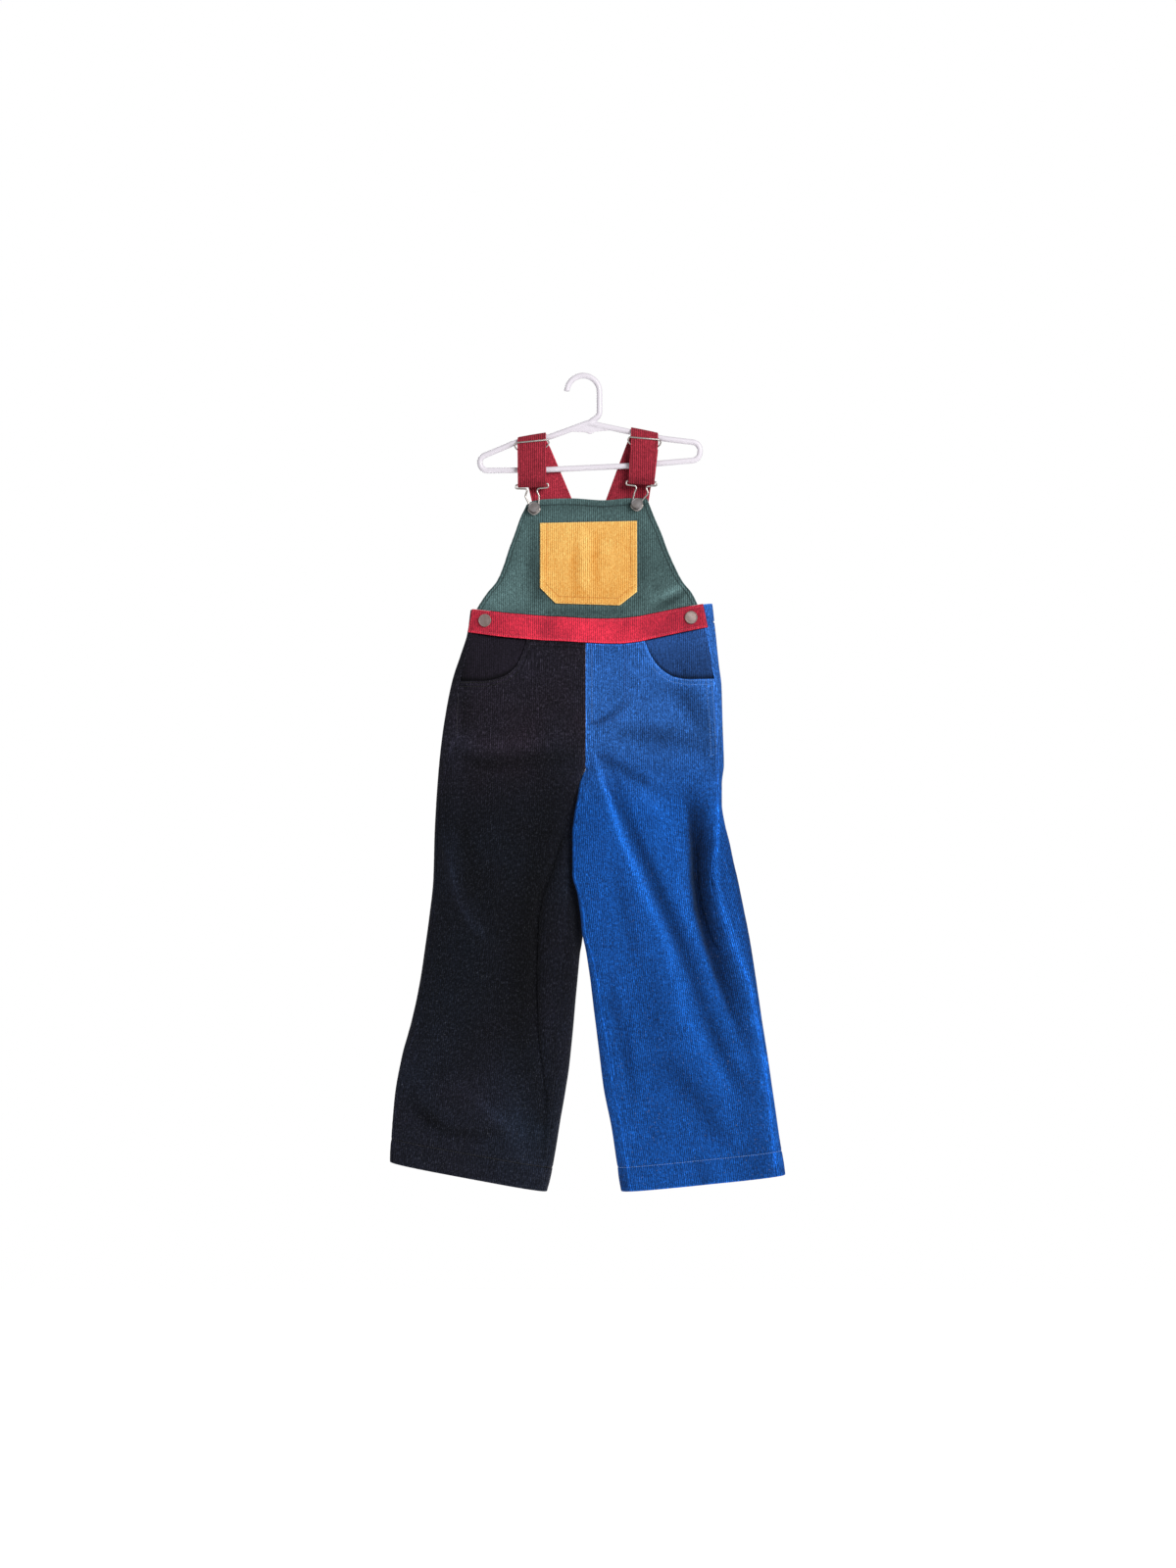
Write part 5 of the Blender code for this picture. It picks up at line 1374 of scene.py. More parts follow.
class OVERALLS_OT_trouser_backs(bpy.types.Operator):
    """Two back panels, each wrapped round both side edges of its leg"""
    bl_idname = "overalls.trouser_backs"
    bl_label = "Trouser backs"

    def execute(self, context):
        settings = context.scene.overalls_cloth
        step = settings.mesh_step / METRES
        shares = fine_ends(BACK_WIDE, step)
        rows = panel_rows(BACK_TOP, step)
        for key, leg in LEGS.items():
            places = panel_table(leg, True, shares)
            v = np.repeat(rows[:, None], len(shares), axis=1)
            cloth = leg_cloth(leg, read_table(places, v), v, True)
            finish = corduroy("back_pile_" + key, settings=settings,
                              lines=[(2, HEM_DEEP), (1, BACK_WAIST_ROW)],
                              **trouser_looks(settings, key))
            add_cloth("back_leg_" + key, cloth, finish, ["back_yoke"])
            add_stitching("back_hem_thread_" + key, [hem_run(cloth, rows)],
                          THREADS["hem_" + key], settings)
        return {"FINISHED"}


class OVERALLS_OT_pocket_facings(bpy.types.Operator):
    """What shows inside each hip pocket"""
    bl_idname = "overalls.pocket_facings"
    bl_label = "Pocket facings"

    def execute(self, context):
        settings = context.scene.overalls_cloth
        shares = fine_ends(FRONT_WIDE, step=3.0)
        shares = shares[shares < 0.6]
        down = fine_ends(FACING_LONG, step=2.4)
        # The facings' colours are scaled as painted light: the blue one darkened as painted shade inside
        # its pocket, the black one a little lighter.
        painted_light_scales = {"left": (1.1, 1.1, 1.1), "right": (0.66, 0.52, 0.5)}
        dyes = {"left": settings.black, "right": settings.blue}
        for key, leg in LEGS.items():
            places = panel_table(leg, False, shares)
            tops = scoop_tops(leg, places)
            foot = pulled_down(np.full(len(tops), SEAM_V + 0.05), tops)
            v = SEAM_V + down[:, None] * (foot - SEAM_V)[None, :]
            q = read_table(places, v)
            points = leg.point(q, v)
            normals = leg_normals(leg, q, v, points)
            seam = np.linalg.norm(points - points[:, :1], axis=-1)
            above = np.clip((tops - v) * LEG_LONG / 12, 0, 1) * np.clip(1 - seam / 16, 0, 1)
            under = (CLOTH + GAP + POCKET_EASE) * (1 - 0.9 * above)
            points = points - normals * under[..., None]
            # lit paints the blue facing lighter at its top and darker lower in the pocket; rim is a
            # painted shadow under the scoop's edge.
            lit = 0.7 * np.clip(1 - down / 0.55, 0, 1)[:, None] - 0.15
            rim = 2.4 * np.exp(-((tops - v) * LEG_LONG / 4) ** 2)
            cloth = Cloth(points, normals, POCKET_CLOTH, leg.wale_place(q, v, False),
                          leg.tone(q, v) - rim + (lit if key == "right" else 0))
            shade = [c * t for c, t in zip(dyes[key], painted_light_scales[key])]
            finish = corduroy("facing_pile_" + key, shade, settings)
            add_cloth("pocket_facing_" + key, cloth, finish,
                      ["waistband", "back_leg_" + key])
        return {"FINISHED"}


# ---- upper pieces

def leg_at(x, v, face=1):
    """Outer points at distances from the centre seam, on the front, or the back at -1."""
    x, v = np.broadcast_arrays(x, v)
    at = np.zeros(x.shape + (3,))
    for leg in LEGS.values():
        mine = x * leg.side >= 0
        at[mine] = leg.point(face * leg.place(x[mine], v[mine]), v[mine])
    return at


def bib_surface(x_share, down, creased=True):
    """Points on the bib's outer side, x_share across it and down its height."""
    foot_v = BAND_TOP - 2 * SEAM_V
    foot_z = {key: leg.heights(foot_v)[0] for key, leg in LEGS.items()}
    top_z = {"left": BIB_TOP["z"][0], "right": BIB_TOP["z"][-1]}
    edges = {key: look(BIB_SIDES, key, top_z[key] + down * (foot_z[key] - top_z[key]))
             for key in ("left", "right")}
    x = edges["left"] + x_share * (edges["right"] - edges["left"])
    at_top = BIB_TOP["x"][0] + x_share * (BIB_TOP["x"][-1] - BIB_TOP["x"][0])
    at_foot = (look(BIB_SIDES, "left", foot_z["left"]) * (1 - x_share)
               + look(BIB_SIDES, "right", foot_z["right"]) * x_share)
    foot = leg_at(at_foot, foot_v)
    z_top = look(BIB_TOP, "z", at_top)
    z = z_top + down * (foot[..., 2] - z_top)
    ease = down * down * (3 - 2 * down)
    belly = -1.6 * np.sin(np.pi * x_share) * np.sin(np.pi * down)
    y = BIB_TOP_Y + ease * (foot[..., 1] - BIB_TOP_Y) + belly
    if creased:
        worn = crease_depth(BIB_CREASES, x, z) + unevenness(x, z, UPPER_WAVES, 0.9)
        y = y + worn * end_fade(down)
    return np.stack([CENTRE_X + x, y, z], axis=-1)


def bib_point(x, z, creased=True):
    """The bib's outer side at a place on it, found by a few corrections."""
    u, v = np.full_like(x, 0.5), np.full_like(x, 0.5)
    for _ in range(25):
        at = bib_surface(u, v, creased)
        u = np.clip(u + (x + CENTRE_X - at[..., 0]) / 190, 0.01, 0.99)
        v = np.clip(v - (z - at[..., 2]) / 150, 0.01, 0.99)
    return bib_surface(u, v, creased)


def hemmed(distance, width, proud=0.4):
    """Relief of a turned hem: a step up at its inner edge and a dip at its stitches."""
    inside = np.clip((width + 1.0 - distance) / 2.0, 0, 1)
    return proud * inside - 0.45 * np.exp(-((distance - width) / 1.2) ** 2)


def add_bib_pocket(settings):
    """The patch pocket, its top edge a little higher on the right."""
    wide = POCKET_RIGHT - POCKET_LEFT
    across = POCKET_LEFT + fine_ends(wide, step=2.2) * wide
    x, down = np.meshgrid(across, fine_ends(POCKET_LONG, step=2.2))
    foot = np.interp(x, POCKET_FOOT["x"], POCKET_FOOT["z"])
    top_z = POCKET_TOP_Z + POCKET_TILT * x
    z = top_z + down * (foot - top_z)
    points = bib_point(x, z) - np.array([0, GAP + POCKET_CLOTH + 0.2, 0])
    points[..., 1] += crease_depth(POCKET_CREASES, x, z)
    normals = grid_normals(points, FORWARD)
    # Painted shade in the pocket's furrows, and painted light and shade along its rims and foot.
    tone = crease_shading(crease_depth(POCKET_CREASES, x, z) * 1.5) + crease_depth(POCKET_PAINTED_LIGHT, x, z)
    cloth = Cloth(points, normals, POCKET_CLOTH, x, tone)
    true_edge(cloth, "bottom")
    near = np.minimum(cloth.side, cloth.bottom)
    hem_row = POCKET_ROWS[1]
    cloth.lift(hemmed(near, hem_row, 0.35))
    cloth.pucker(near, x + z, 0.2, 7.5, 5.0)
    finish = corduroy("pocket_pile", settings.yellow, settings, contrast=0.5, valley=0.64,
                      sheen_tint=(1.0, 0.85, 0.6), spread=(0.5, 1.0, 1.5),
                      lines=[(0, hem_row), (2, hem_row)], line_tone=-0.16, line_deep=0.3)
    piece = add_cloth("bib_pocket", cloth, finish, ["bib"])
    outline = [(POCKET_LEFT, POCKET_TOP_Z - 1)]
    outline += list(zip(POCKET_FOOT["x"], POCKET_FOOT["z"]))
    outline += [(POCKET_RIGHT, POCKET_TOP_Z - 1)]
    runs = [lay(piece, inset(outline, distance)) for distance in POCKET_ROWS]
    add_stitching("pocket_thread", runs, THREADS["pocket"], settings)


class OVERALLS_OT_bib(bpy.types.Operator):
    """Green bib with turned hems, and the yellow patch pocket on it"""
    bl_idname = "overalls.bib"
    bl_label = "Bib and pocket"

    def execute(self, context):
        settings = context.scene.overalls_cloth
        side_row, rim_row = BIB_SIDE_ROWS
        u, down = np.meshgrid(fine_ends(BIB_WIDE, step=2.3), fine_ends(BIB_LONG, step=2.3))
        points = bib_surface(u, down)
        normals = grid_normals(points, FORWARD)
        x, z = points[..., 0] - CENTRE_X, points[..., 2]
        # Painted shade in the bib's creases, and its painted patches, such as the pocket's painted
        # shadow.
        tone = crease_shading(crease_depth(BIB_CREASES, x, z) * 1.6) + crease_depth(BIB_PAINTED_LIGHT, x, z)
        cloth = Cloth(points, normals, CLOTH, x, tone)
        cloth.lift(hemmed(cloth.side, side_row) + hemmed(cloth.top, BIB_TOP_ROW, 0.3))
        cloth.pucker(cloth.side, points[..., 2], 0.2, 8.0, 7.0)
        finish = corduroy("bib_pile", settings.green, settings, sheen_tint=(0.5, 0.7, 0.7),
                          contrast=0.85, worn=0.25, line_tone=-0.38,
                          lines=[(0, side_row), (0, rim_row), (1, BIB_TOP_ROW)])
        add_cloth("bib", cloth, finish,
                  ["buckle_left", "buckle_right", "waistband"])
        runs = [beside_edge(cloth, edge, distance)
                for distance in BIB_SIDE_ROWS for edge in ("start", "end")]
        runs.append(beside_edge(cloth, "top", BIB_TOP_ROW, 0.06, 0.94))
        add_stitching("bib_thread", runs, THREADS["bib"], settings)
        add_bib_pocket(settings)
        return {"FINISHED"}


class OVERALLS_OT_waistband(bpy.types.Operator):
    """Red band across the front, buttoned over the back at each side"""
    bl_idname = "overalls.waistband"
    bl_label = "Waistband"

    def execute(self, context):
        settings = context.scene.overalls_cloth
        v = BAND_TOP + fine_ends(BAND_LONG, step=1.8) * (-SEAM_V - BAND_TOP)
        down = (v - BAND_TOP) / (-SEAM_V - BAND_TOP)
        ends = {key: a + down * (b - a) for key, (a, b) in BAND_ENDS.items()}
        across = fine_ends(BAND_WIDE, step=2.4)
        x = -ends["left"][:, None] + across * (ends["left"] + ends["right"])[:, None]
        points = leg_at(x, v[:, None])
        normals = grid_normals(points, FORWARD)
        points = points + normals * (GAP + BAND_CLOTH)
        # Painted shade towards both ends, where the band turns away from the light, painted shade of a
        # dent at x = -46, a faint painted highlight in the middle, and a slight ripple of tone.
        tone = -0.85 * np.clip((x - 40) / 80, 0, 1) - 0.45 * np.clip((-x - 60) / 50, 0, 1)
        tone = tone - 0.45 * np.exp(-((x + 46) / 16) ** 2) + 0.1 * np.exp(-((x - 22) / 34) ** 2)
        tone = tone + 0.16 * np.sin(x / 13 + 4 * down[:, None]) * np.sin(x / 7.6 + 1.4)
        cloth = Cloth(points, normals, BAND_CLOTH, x, tone)
        puff = np.sin(np.pi * down)[:, None] * np.clip(cloth.side / 6, 0, 1)
        ripple = np.sin(x / 6.3 + 0.8 * np.sin(x / 19)) + 0.6 * np.sin(x / 2.9 + 1.0)
        near = np.minimum(cloth.top, cloth.bottom)
        cloth.lift(0.35 * puff + 0.22 * ripple * np.exp(-near / 5)
                   - 0.25 * np.exp(-((near - BAND_ROW) / 1.1) ** 2))
        # The light line 1.4 mm above the foot is a painted highlight on the band's folded edge.
        finish = corduroy("waistband_pile", settings.band_red, settings, contrast=0.8,
                          valley=0.42, sheen_tint=(1.0, 0.4, 0.5), lines=[(2, 1.4)],
                          line_tone=0.3, line_deep=0.0, spread=(1.0, 0.8, 0.8))
        add_cloth("waistband", cloth, finish,
                  ["bib", "side_button_left", "side_button_right"])
        runs = [beside_edge(cloth, edge, BAND_ROW) for edge in ("top", "bottom", "start", "end")]
        add_stitching("waistband_thread", runs, THREADS["waistband"], settings)
        return {"FINISHED"}


class OVERALLS_OT_back_yoke(bpy.types.Operator):
    """Red piece between the trouser backs and the straps, with a V-shaped top"""
    bl_idname = "overalls.back_yoke"
    bl_label = "Back yoke"

    def execute(self, context):
        settings = context.scene.overalls_cloth
        inner_left, inner_right = STRAP_LEFT["yoke"][1], STRAP_RIGHT["yoke"][0]
        left, right = YOKE_SIDES["left"][-1], YOKE_SIDES["right"][-1]
        corners = np.array([left, inner_left, YOKE_NOTCH[0], inner_right, right])
        heights = np.array([YOKE_TOP_Z, YOKE_TOP_Z, YOKE_NOTCH[1], YOKE_TOP_Z, YOKE_TOP_Z])
        shares = fine_ends(YOKE_WIDE, step=2.4)
        shares = np.unique(np.concatenate([shares, (corners - left) / (right - left)]))
        top_z = np.interp(left + shares * (right - left), corners, heights)
        foot_left, foot_right = YOKE_SIDES["left"][0], YOKE_SIDES["right"][0]
        foot = leg_at(foot_left + shares * (foot_right - foot_left), BACK_TOP - 2 * SEAM_V, -1)
        down = fine_ends(YOKE_LONG, step=2.4)[:, None]
        z = top_z + down * (foot[:, 2] - top_z)
        level = YOKE_TOP_Z + down * (foot[:, 2].max() - YOKE_TOP_Z)
        x = look(YOKE_SIDES, "left", level) * (1 - shares)
        x = x + look(YOKE_SIDES, "right", level) * shares
        worn = crease_depth(YOKE_CREASES, x, z) + unevenness(x, z, UPPER_WAVES, 1.7)
        y = YOKE_TOP_Y + down * (foot[:, 1] - YOKE_TOP_Y) - worn * end_fade(down)
        points = np.stack([CENTRE_X + x, y, z], axis=-1)
        normals = grid_normals(points, BACKWARD)
        cloth = Cloth(points, normals, CLOTH, x)
        true_edge(cloth, "top")
        cloth.lift(hemmed(cloth.side, YOKE_SIDE_ROW, 0.3))
        cloth.pucker(cloth.side, z, 0.2, 8.0, 7.0)
        finish = corduroy("yoke_pile", settings.band_red, settings, sheen_tint=(1.0, 0.5, 0.55),
                          lines=[(0, YOKE_SIDE_ROW), (1, YOKE_ROW), (2, YOKE_ROW)])
        add_cloth("back_yoke", cloth, finish, ["strap_left", "strap_right"])
        runs = [beside_edge(cloth, edge, YOKE_SIDE_ROW) for edge in ("start", "end")]
        runs += [beside_edge(cloth, edge, YOKE_ROW, 0.03, 0.97) for edge in ("top", "bottom")]
        add_stitching("yoke_thread", runs, THREADS["yoke"], settings)
        return {"FINISHED"}


def strap_path(plan):
    """Rows of a strap: y, z, heading of its outer side, its two edges and its slope."""
    over = HANGER_TUBE / 2 + GAP + STRAP_CLOTH / 2
    front, behind = LOOP_Y - LAYER_OFF, LOOP_Y + LAYER_OFF
    back_y = YOKE_TOP_Y - CLOTH / 2
    arm_z, turn_z, slide_z = plan["arm_z"], plan["turn_z"], plan["slide_z"]
    line = []
    for t in np.linspace(0, 1, 7):
        z = plan["yoke_z"] + t * (arm_z - plan["yoke_z"])
        line.append((back_y + t * (over - back_y), z, 0.0, ("yoke", "top", t)))
    for angle in np.radians(np.linspace(20, 130, 12)):
        line.append((over * math.cos(angle), arm_z + over * math.sin(angle), angle,
                     ("top", "top", 0)))
    fall_z = arm_z - 6.5
    line.append((front * 0.62 - over * 0.38, arm_z - 1.0, math.radians(160),
                 ("top", "turn", 0.02)))
    for t in np.linspace(0, 1, 6):
        line.append((front, fall_z + t * (turn_z - fall_z), math.pi, ("top", "turn", t)))
    for angle in np.radians(np.linspace(216, 360, 9)):
        line.append((LOOP_Y + LAYER_OFF * math.cos(angle),
                     turn_z + LAYER_OFF * math.sin(angle), angle, ("turn", "turn", 0)))
    for t in np.linspace(0.2, 1, 4):
        z = turn_z + t * (slide_z - SLIDER_DROP - 1.6 - turn_z)
        line.append((behind, z, 2 * math.pi, ("turn", "top", t)))
    lean = {"yoke": 0.0, "top": plan["arm_slope"], "turn": plan["turn_slope"]}
    rows = []
    for y, z, heading, (a, b, t) in line:
        ends = [plan[a][k] + t * (plan[b][k] - plan[a][k]) for k in (0, 1)]
        rows.append((y, z, heading, *ends, lean[a] + t * (lean[b] - lean[a])))
    return np.array(rows)


def strap_cloth(plan):
    """A strap as one ribbon: up the back, over the hanger, down and back up again."""
    coarse = strap_path(plan)
    length = travelled(coarse[:, :2])
    at = fine_ends(length[-1], 1.5) * length[-1]
    y, z, heading, left, right, slope = (smooth(at, length, column) for column in coarse.T)
    share = fine_ends(STRAP_WIDE, step=1.9)
    across = left[:, None] + share * (right - left)[:, None]
    lean = slope[:, None] * (across - (left + right)[:, None] / 2)
    out = np.stack([np.zeros_like(heading), np.cos(heading), np.sin(heading)], -1)
    base = np.stack([CENTRE_X + across, np.repeat(y[:, None], len(share), 1),
                     z[:, None] + lean], -1)
    normals = np.repeat(out[:, None, :], len(share), axis=1)
    # The front layer is darker, its pile turned the other way; the right strap's back layer is painted
    # in the front strap's shadow, and a band of painted shade lies at the front layer's turn.
    tone = np.where(y < 0, -0.42, plan["back_painted_shadow"])[:, None] + 0 * across
    tone = tone - 0.5 * np.exp(-((z[:, None] - plan["turn_z"] - 1) / 4) ** 2) * (y < -5)[:, None]
    cloth = Cloth(base + normals * STRAP_CLOTH / 2, normals, STRAP_CLOTH, across, tone, roll=1.2)
    crown = 0.18 * np.sin(np.pi * share)[None, :]
    phase = plan["phase"]
    swell = 0.12 * np.sin(at / 7.3 + phase)[:, None] * np.sin(2 * np.pi * share + phase)
    cloth.lift(crown + swell - 0.3 * np.exp(-((cloth.side - STRAP_ROW) / 1.0) ** 2))
    return cloth


class OVERALLS_OT_straps(bpy.types.Operator):
    """Two red straps over the hanger, folded up behind through the buckles"""
    bl_idname = "overalls.straps"
    bl_label = "Straps"

    def execute(self, context):
        settings = context.scene.overalls_cloth
        for key, plan in STRAPS.items():
            cloth = strap_cloth(plan)
            finish = corduroy("strap_pile_" + key, settings.strap_red, settings, worn=0.25,
                              contrast=0.75, sheen_tint=(1.0, 0.5, 0.55), lines=[(0, STRAP_ROW)])
            add_cloth("strap_" + key, cloth, finish, ["hanger"])
            runs = [beside_edge(cloth, edge, STRAP_ROW) for edge in ("start", "end")]
            add_stitching("strap_thread_" + key, runs, THREADS["strap"], settings)
        return {"FINISHED"}


# ---- metal and plastic

def rounded(corners, closed, turn_step=8.0):
    """A path through corners (x, z, bend radius), each one turned on an arc."""
    path = []
    count = len(corners)
    for i, (x, z, radius) in enumerate(corners):
        here = Vector((x, z))
        if not closed and i in (0, count - 1):
            path.append(here)
            continue
        before = (Vector(corners[i - 1][:2]) - here).normalized()
        after = (Vector(corners[(i + 1) % count][:2]) - here).normalized()
        turn = math.pi - before.angle(after)
        reach = radius * math.tan(turn / 2)
        start, end = here + before * reach, here + after * reach
        centre = here + (before + after).normalized() * radius / math.cos(turn / 2)
        steps = max(1, round(turn / math.radians(turn_step)))
        for k in range(steps + 1):
            spoke = (start - centre).lerp(end - centre, k / steps)
            path.append(centre + spoke.normalized() * radius)
    return path


def only(piece):
    """Make a piece the one that operators act on."""
    bpy.ops.object.select_all(action="DESELECT")
    piece.select_set(True)
    bpy.context.view_layer.objects.active = piece
    return piece


def wire(name, path, diameter, closed, round_steps=5):
    """A round bar bent along a path of points in millimetres, as a mesh piece."""
    curve = bpy.data.curves.new(name, "CURVE")
    curve.dimensions = "3D"
    curve.bevel_depth = diameter / 2 * METRES
    curve.bevel_resolution = round_steps
    curve.use_fill_caps = not closed
    spline = curve.splines.new("POLY")
    spline.points.add(len(path) - 1)
    for point, place in zip(spline.points, path):
        point.co = (*(c * METRES for c in place), 1)
    spline.use_cyclic_u = closed
    guide = bpy.data.objects.new(name, curve)
    bpy.context.scene.collection.objects.link(guide)
    only(guide)
    bpy.ops.object.convert(target="MESH")
    piece = bpy.context.view_layer.objects.active
    piece.data.shade_smooth()
    return piece


def finish_piece(piece, material, nodes):
    """Give a modelled piece its finish and its place in the object."""
    piece.data.materials.clear()
    piece.data.materials.append(material)
    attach(piece, "root")
    if nodes:
        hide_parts(*nodes)
    return piece


def drawn_up(name, profile, place, direction, bevel):
    """A round piece: a disc extruded and scaled through (radius, height) steps."""
    bpy.ops.object.select_all(action="DESELECT")
    radius, height = profile[0]
    bpy.ops.mesh.primitive_circle_add(vertices=48, radius=radius * METRES, fill_type="NGON",
        location=(0, 0, height * METRES))
    piece = bpy.context.object
    piece.name = name
    bpy.ops.object.mode_set(mode="EDIT")
    bpy.ops.mesh.select_all(action="SELECT")
    for next_radius, next_height in profile[1:]:
        rise = (next_height - height) * METRES
        bpy.ops.mesh.extrude_region_move(TRANSFORM_OT_translate={"value": (0, 0, rise)})
        grow = next_radius / radius
        bpy.ops.transform.resize(value=(grow, grow, 1),
                                 center_override=(0, 0, next_height * METRES))
        radius, height = next_radius, next_height
    bpy.ops.mesh.select_all(action="SELECT")
    bpy.ops.mesh.normals_make_consistent(inside=False)
    bpy.ops.object.mode_set(mode="OBJECT")
    edge = piece.modifiers.new("rounded edges", "BEVEL")
    edge.width = bevel * METRES
    edge.segments = 3
    edge.limit_method = "ANGLE"
    edge.angle_limit = math.radians(24)
    bpy.ops.object.modifier_apply(modifier=edge.name)
    bpy.ops.object.transform_apply(location=True, rotation=True, scale=True)
    turn = Vector((0, 0, 1)).rotation_difference(Vector(direction)).to_matrix().to_4x4()
    piece.data.transform(Matrix.Translation(Vector(place) * METRES) @ turn)
    only(piece)
    bpy.ops.object.shade_smooth_by_angle(angle=math.radians(40))
    return piece


def add_side_button(key, material):
    """A flat button over the waistband's end."""
    x, z = SIDE_BUTTON_SEATS[key]
    leg = LEGS[key]
    q, v = leg.find(abs(x), z)
    seat, normal = leg.point(q, v), leg.normal(q, v)
    radius = SIDE_BUTTON / 2
    profile = [(2.8, 0.0), (2.6, 0.9), (radius - 0.8, 1.0), (radius, 1.6), (radius, 2.2),
               (radius - 0.5, 2.75), (radius - 0.9, 2.85), (radius - 1.4, 2.4),
               (3.8, 2.75), (1.8, 2.9)]
    place = Vector(seat) + Vector(normal) * (GAP + BAND_CLOTH + GAP)
    piece = drawn_up("side_button_" + key + "_metal", profile, place, normal, 0.2)
    finish_piece(piece, material, ["side_button_" + key])


class OVERALLS_OT_buttons(bpy.types.Operator):
    """Hook buttons that the buckles hang on, and the flat buttons at the waist's sides"""
    bl_idname = "overalls.buttons"
    bl_label = "Buttons"

    def execute(self, context):
        settings = context.scene.overalls_hardware
        material, hooked = (nickel(name, tuple(metal), 0.5, settings.metal_roughness)
            for name, metal in (("side_button_nickel", settings.button_metal),
                                ("hook_button_nickel", settings.hook_metal)))
        for key in ("left", "right"):
            x, z = BUTTON_SEATS[key]
            seat = bib_point(np.array([x]), np.array([z]), creased=False)[0]
            direction = Vector((0, -math.cos(BUTTON_TILT), math.sin(BUTTON_TILT)))
            radius = HOOK_BUTTON / 2
            profile = [(5.8, 0.0), (6.4, 0.3), (6.4, 0.8), (5.6, 1.1), (2.7, 1.3),
                       (2.5, 4.4), (4.6, 4.9), (radius - 0.9, 5.3), (radius, 6.0),
                       (radius, 6.9), (radius - 0.5, 7.4), (radius - 0.9, 7.5),
                       (radius - 1.3, 7.1), (3.6, 7.5), (1.8, 7.68)]
            place = Vector(seat) + Vector((0, -(GAP + 1.2), 0))
            piece = drawn_up("hook_button_" + key + "_metal", profile, place, direction, 0.22)
            finish_piece(piece, hooked, ["hook_button_" + key])
            add_side_button(key, material)
        return {"FINISHED"}


def buckle_path(key, plan):
    """A bar in the strap's loop, two shoulders, and a keyhole round the button."""
    middle = sum(plan["turn"]) / 2
    half = (plan["turn"][1] - plan["turn"][0]) / 2
    top = plan["turn_z"]
    under = top - LAYER_OFF - STRAP_CLOTH / 2 - GAP - WIRE / 2 - 0.4
    seat_x, seat_z = BUTTON_SEATS[key]
    foot = seat_z - 5.4
    shift = seat_x - middle
    outline = [(-half - 2.0, top, 1.6), (half + 2.0, top, 1.6), (half + 2.6, under + 0.8, 1.9),
        (7.4, under, 1.8), (6.0, under - 2.6, 2.0), (8.6, under - 9.0, 4.0),
        (5.4 + shift, seat_z + 5.6, 3.0), (7.2 + shift, foot + 4.5, 3.0),
        (0 + shift, foot - 1.6, 5.0), (-7.2 + shift, foot + 4.5, 3.0),
        (-5.4 + shift, seat_z + 5.6, 3.0), (-8.6, under - 9.0, 4.0),
        (-6.0, under - 2.6, 2.0), (-7.4, under, 1.8), (-half - 2.6, under + 0.8, 1.9)]
    path = []
    for p in rounded(outline, True):
        lean = plan["turn_slope"] * p.x if p.y > under - 1 else 0
        path.append((CENTRE_X + middle + p.x, LOOP_Y, p.y + lean))
    return path


def slider_path(plan):
    """A ring with its front bar before the strap and its back bar behind it."""
    slide_z, slope = plan["slide_z"], plan["slide_slope"]
    share = (plan["arm_z"] - slide_z) / (plan["arm_z"] - plan["turn_z"])
    ends = [a + share * (b - a) for a, b in zip(plan["top"], plan["turn"])]
    middle, half = sum(ends) / 2, (ends[1] - ends[0]) / 2
    front = LOOP_Y - LAYER_OFF - STRAP_CLOTH / 2 - GAP - SLIDER_WIRE / 2 + 0.3
    side = [(half + 0.4, front, 0.0), (half + 1.5, front + 0.4, -0.3),
            (half + 2.2, front + 1.2, -0.8), (half + 3.6, (front + LOOP_Y) / 2, -3.0),
            (half + 2.6, LOOP_Y - 1.0, -5.6), (half + 2.0, LOOP_Y - 0.5, -6.4),
            (half + 0.4, LOOP_Y, -SLIDER_DROP)]
    ring = side + [(-x, y, z) for x, y, z in reversed(side)]
    return [(CENTRE_X + middle + x, y, slide_z + z + slope * x) for x, y, z in ring]


class OVERALLS_OT_buckles_and_sliders(bpy.types.Operator):
    """Bent wire buckles hooked over the buttons, and the sliders on the straps"""
    bl_idname = "overalls.buckles_and_sliders"
    bl_label = "Buckles and sliders"

    def execute(self, context):
        settings = context.scene.overalls_hardware
        material = nickel("wire_nickel", tuple(settings.wire_metal), 0.85,
                          settings.metal_roughness * 0.7)
        for key, plan in STRAPS.items():
            buckle = wire("buckle_" + key + "_wire", buckle_path(key, plan), WIRE, True)
            finish_piece(buckle, material, ["buckle_" + key])
            slider = wire("slider_" + key + "_wire", slider_path(plan), SLIDER_WIRE, True)
            finish_piece(slider, material, ["slider_" + key])
        return {"FINISHED"}


def hook_path():
    """The hanger's stem, bend and hook, from the frame upwards."""
    upright = (HOOK_CENTRE[0] + HOOK_RADIUS, HOOK_CENTRE[1])
    stem = rounded([(*HOOK_STEM, 0), HOOK_BEND, (*upright, 0)], False)
    path = [(CENTRE_X + p.x, 0, p.y) for p in stem]
    for angle in np.linspace(0, HOOK_SWEEP, 40)[1:]:
        path.append((CENTRE_X + HOOK_CENTRE[0] + HOOK_RADIUS * math.cos(angle), 0,
                     HOOK_CENTRE[1] + HOOK_RADIUS * math.sin(angle)))
    return path


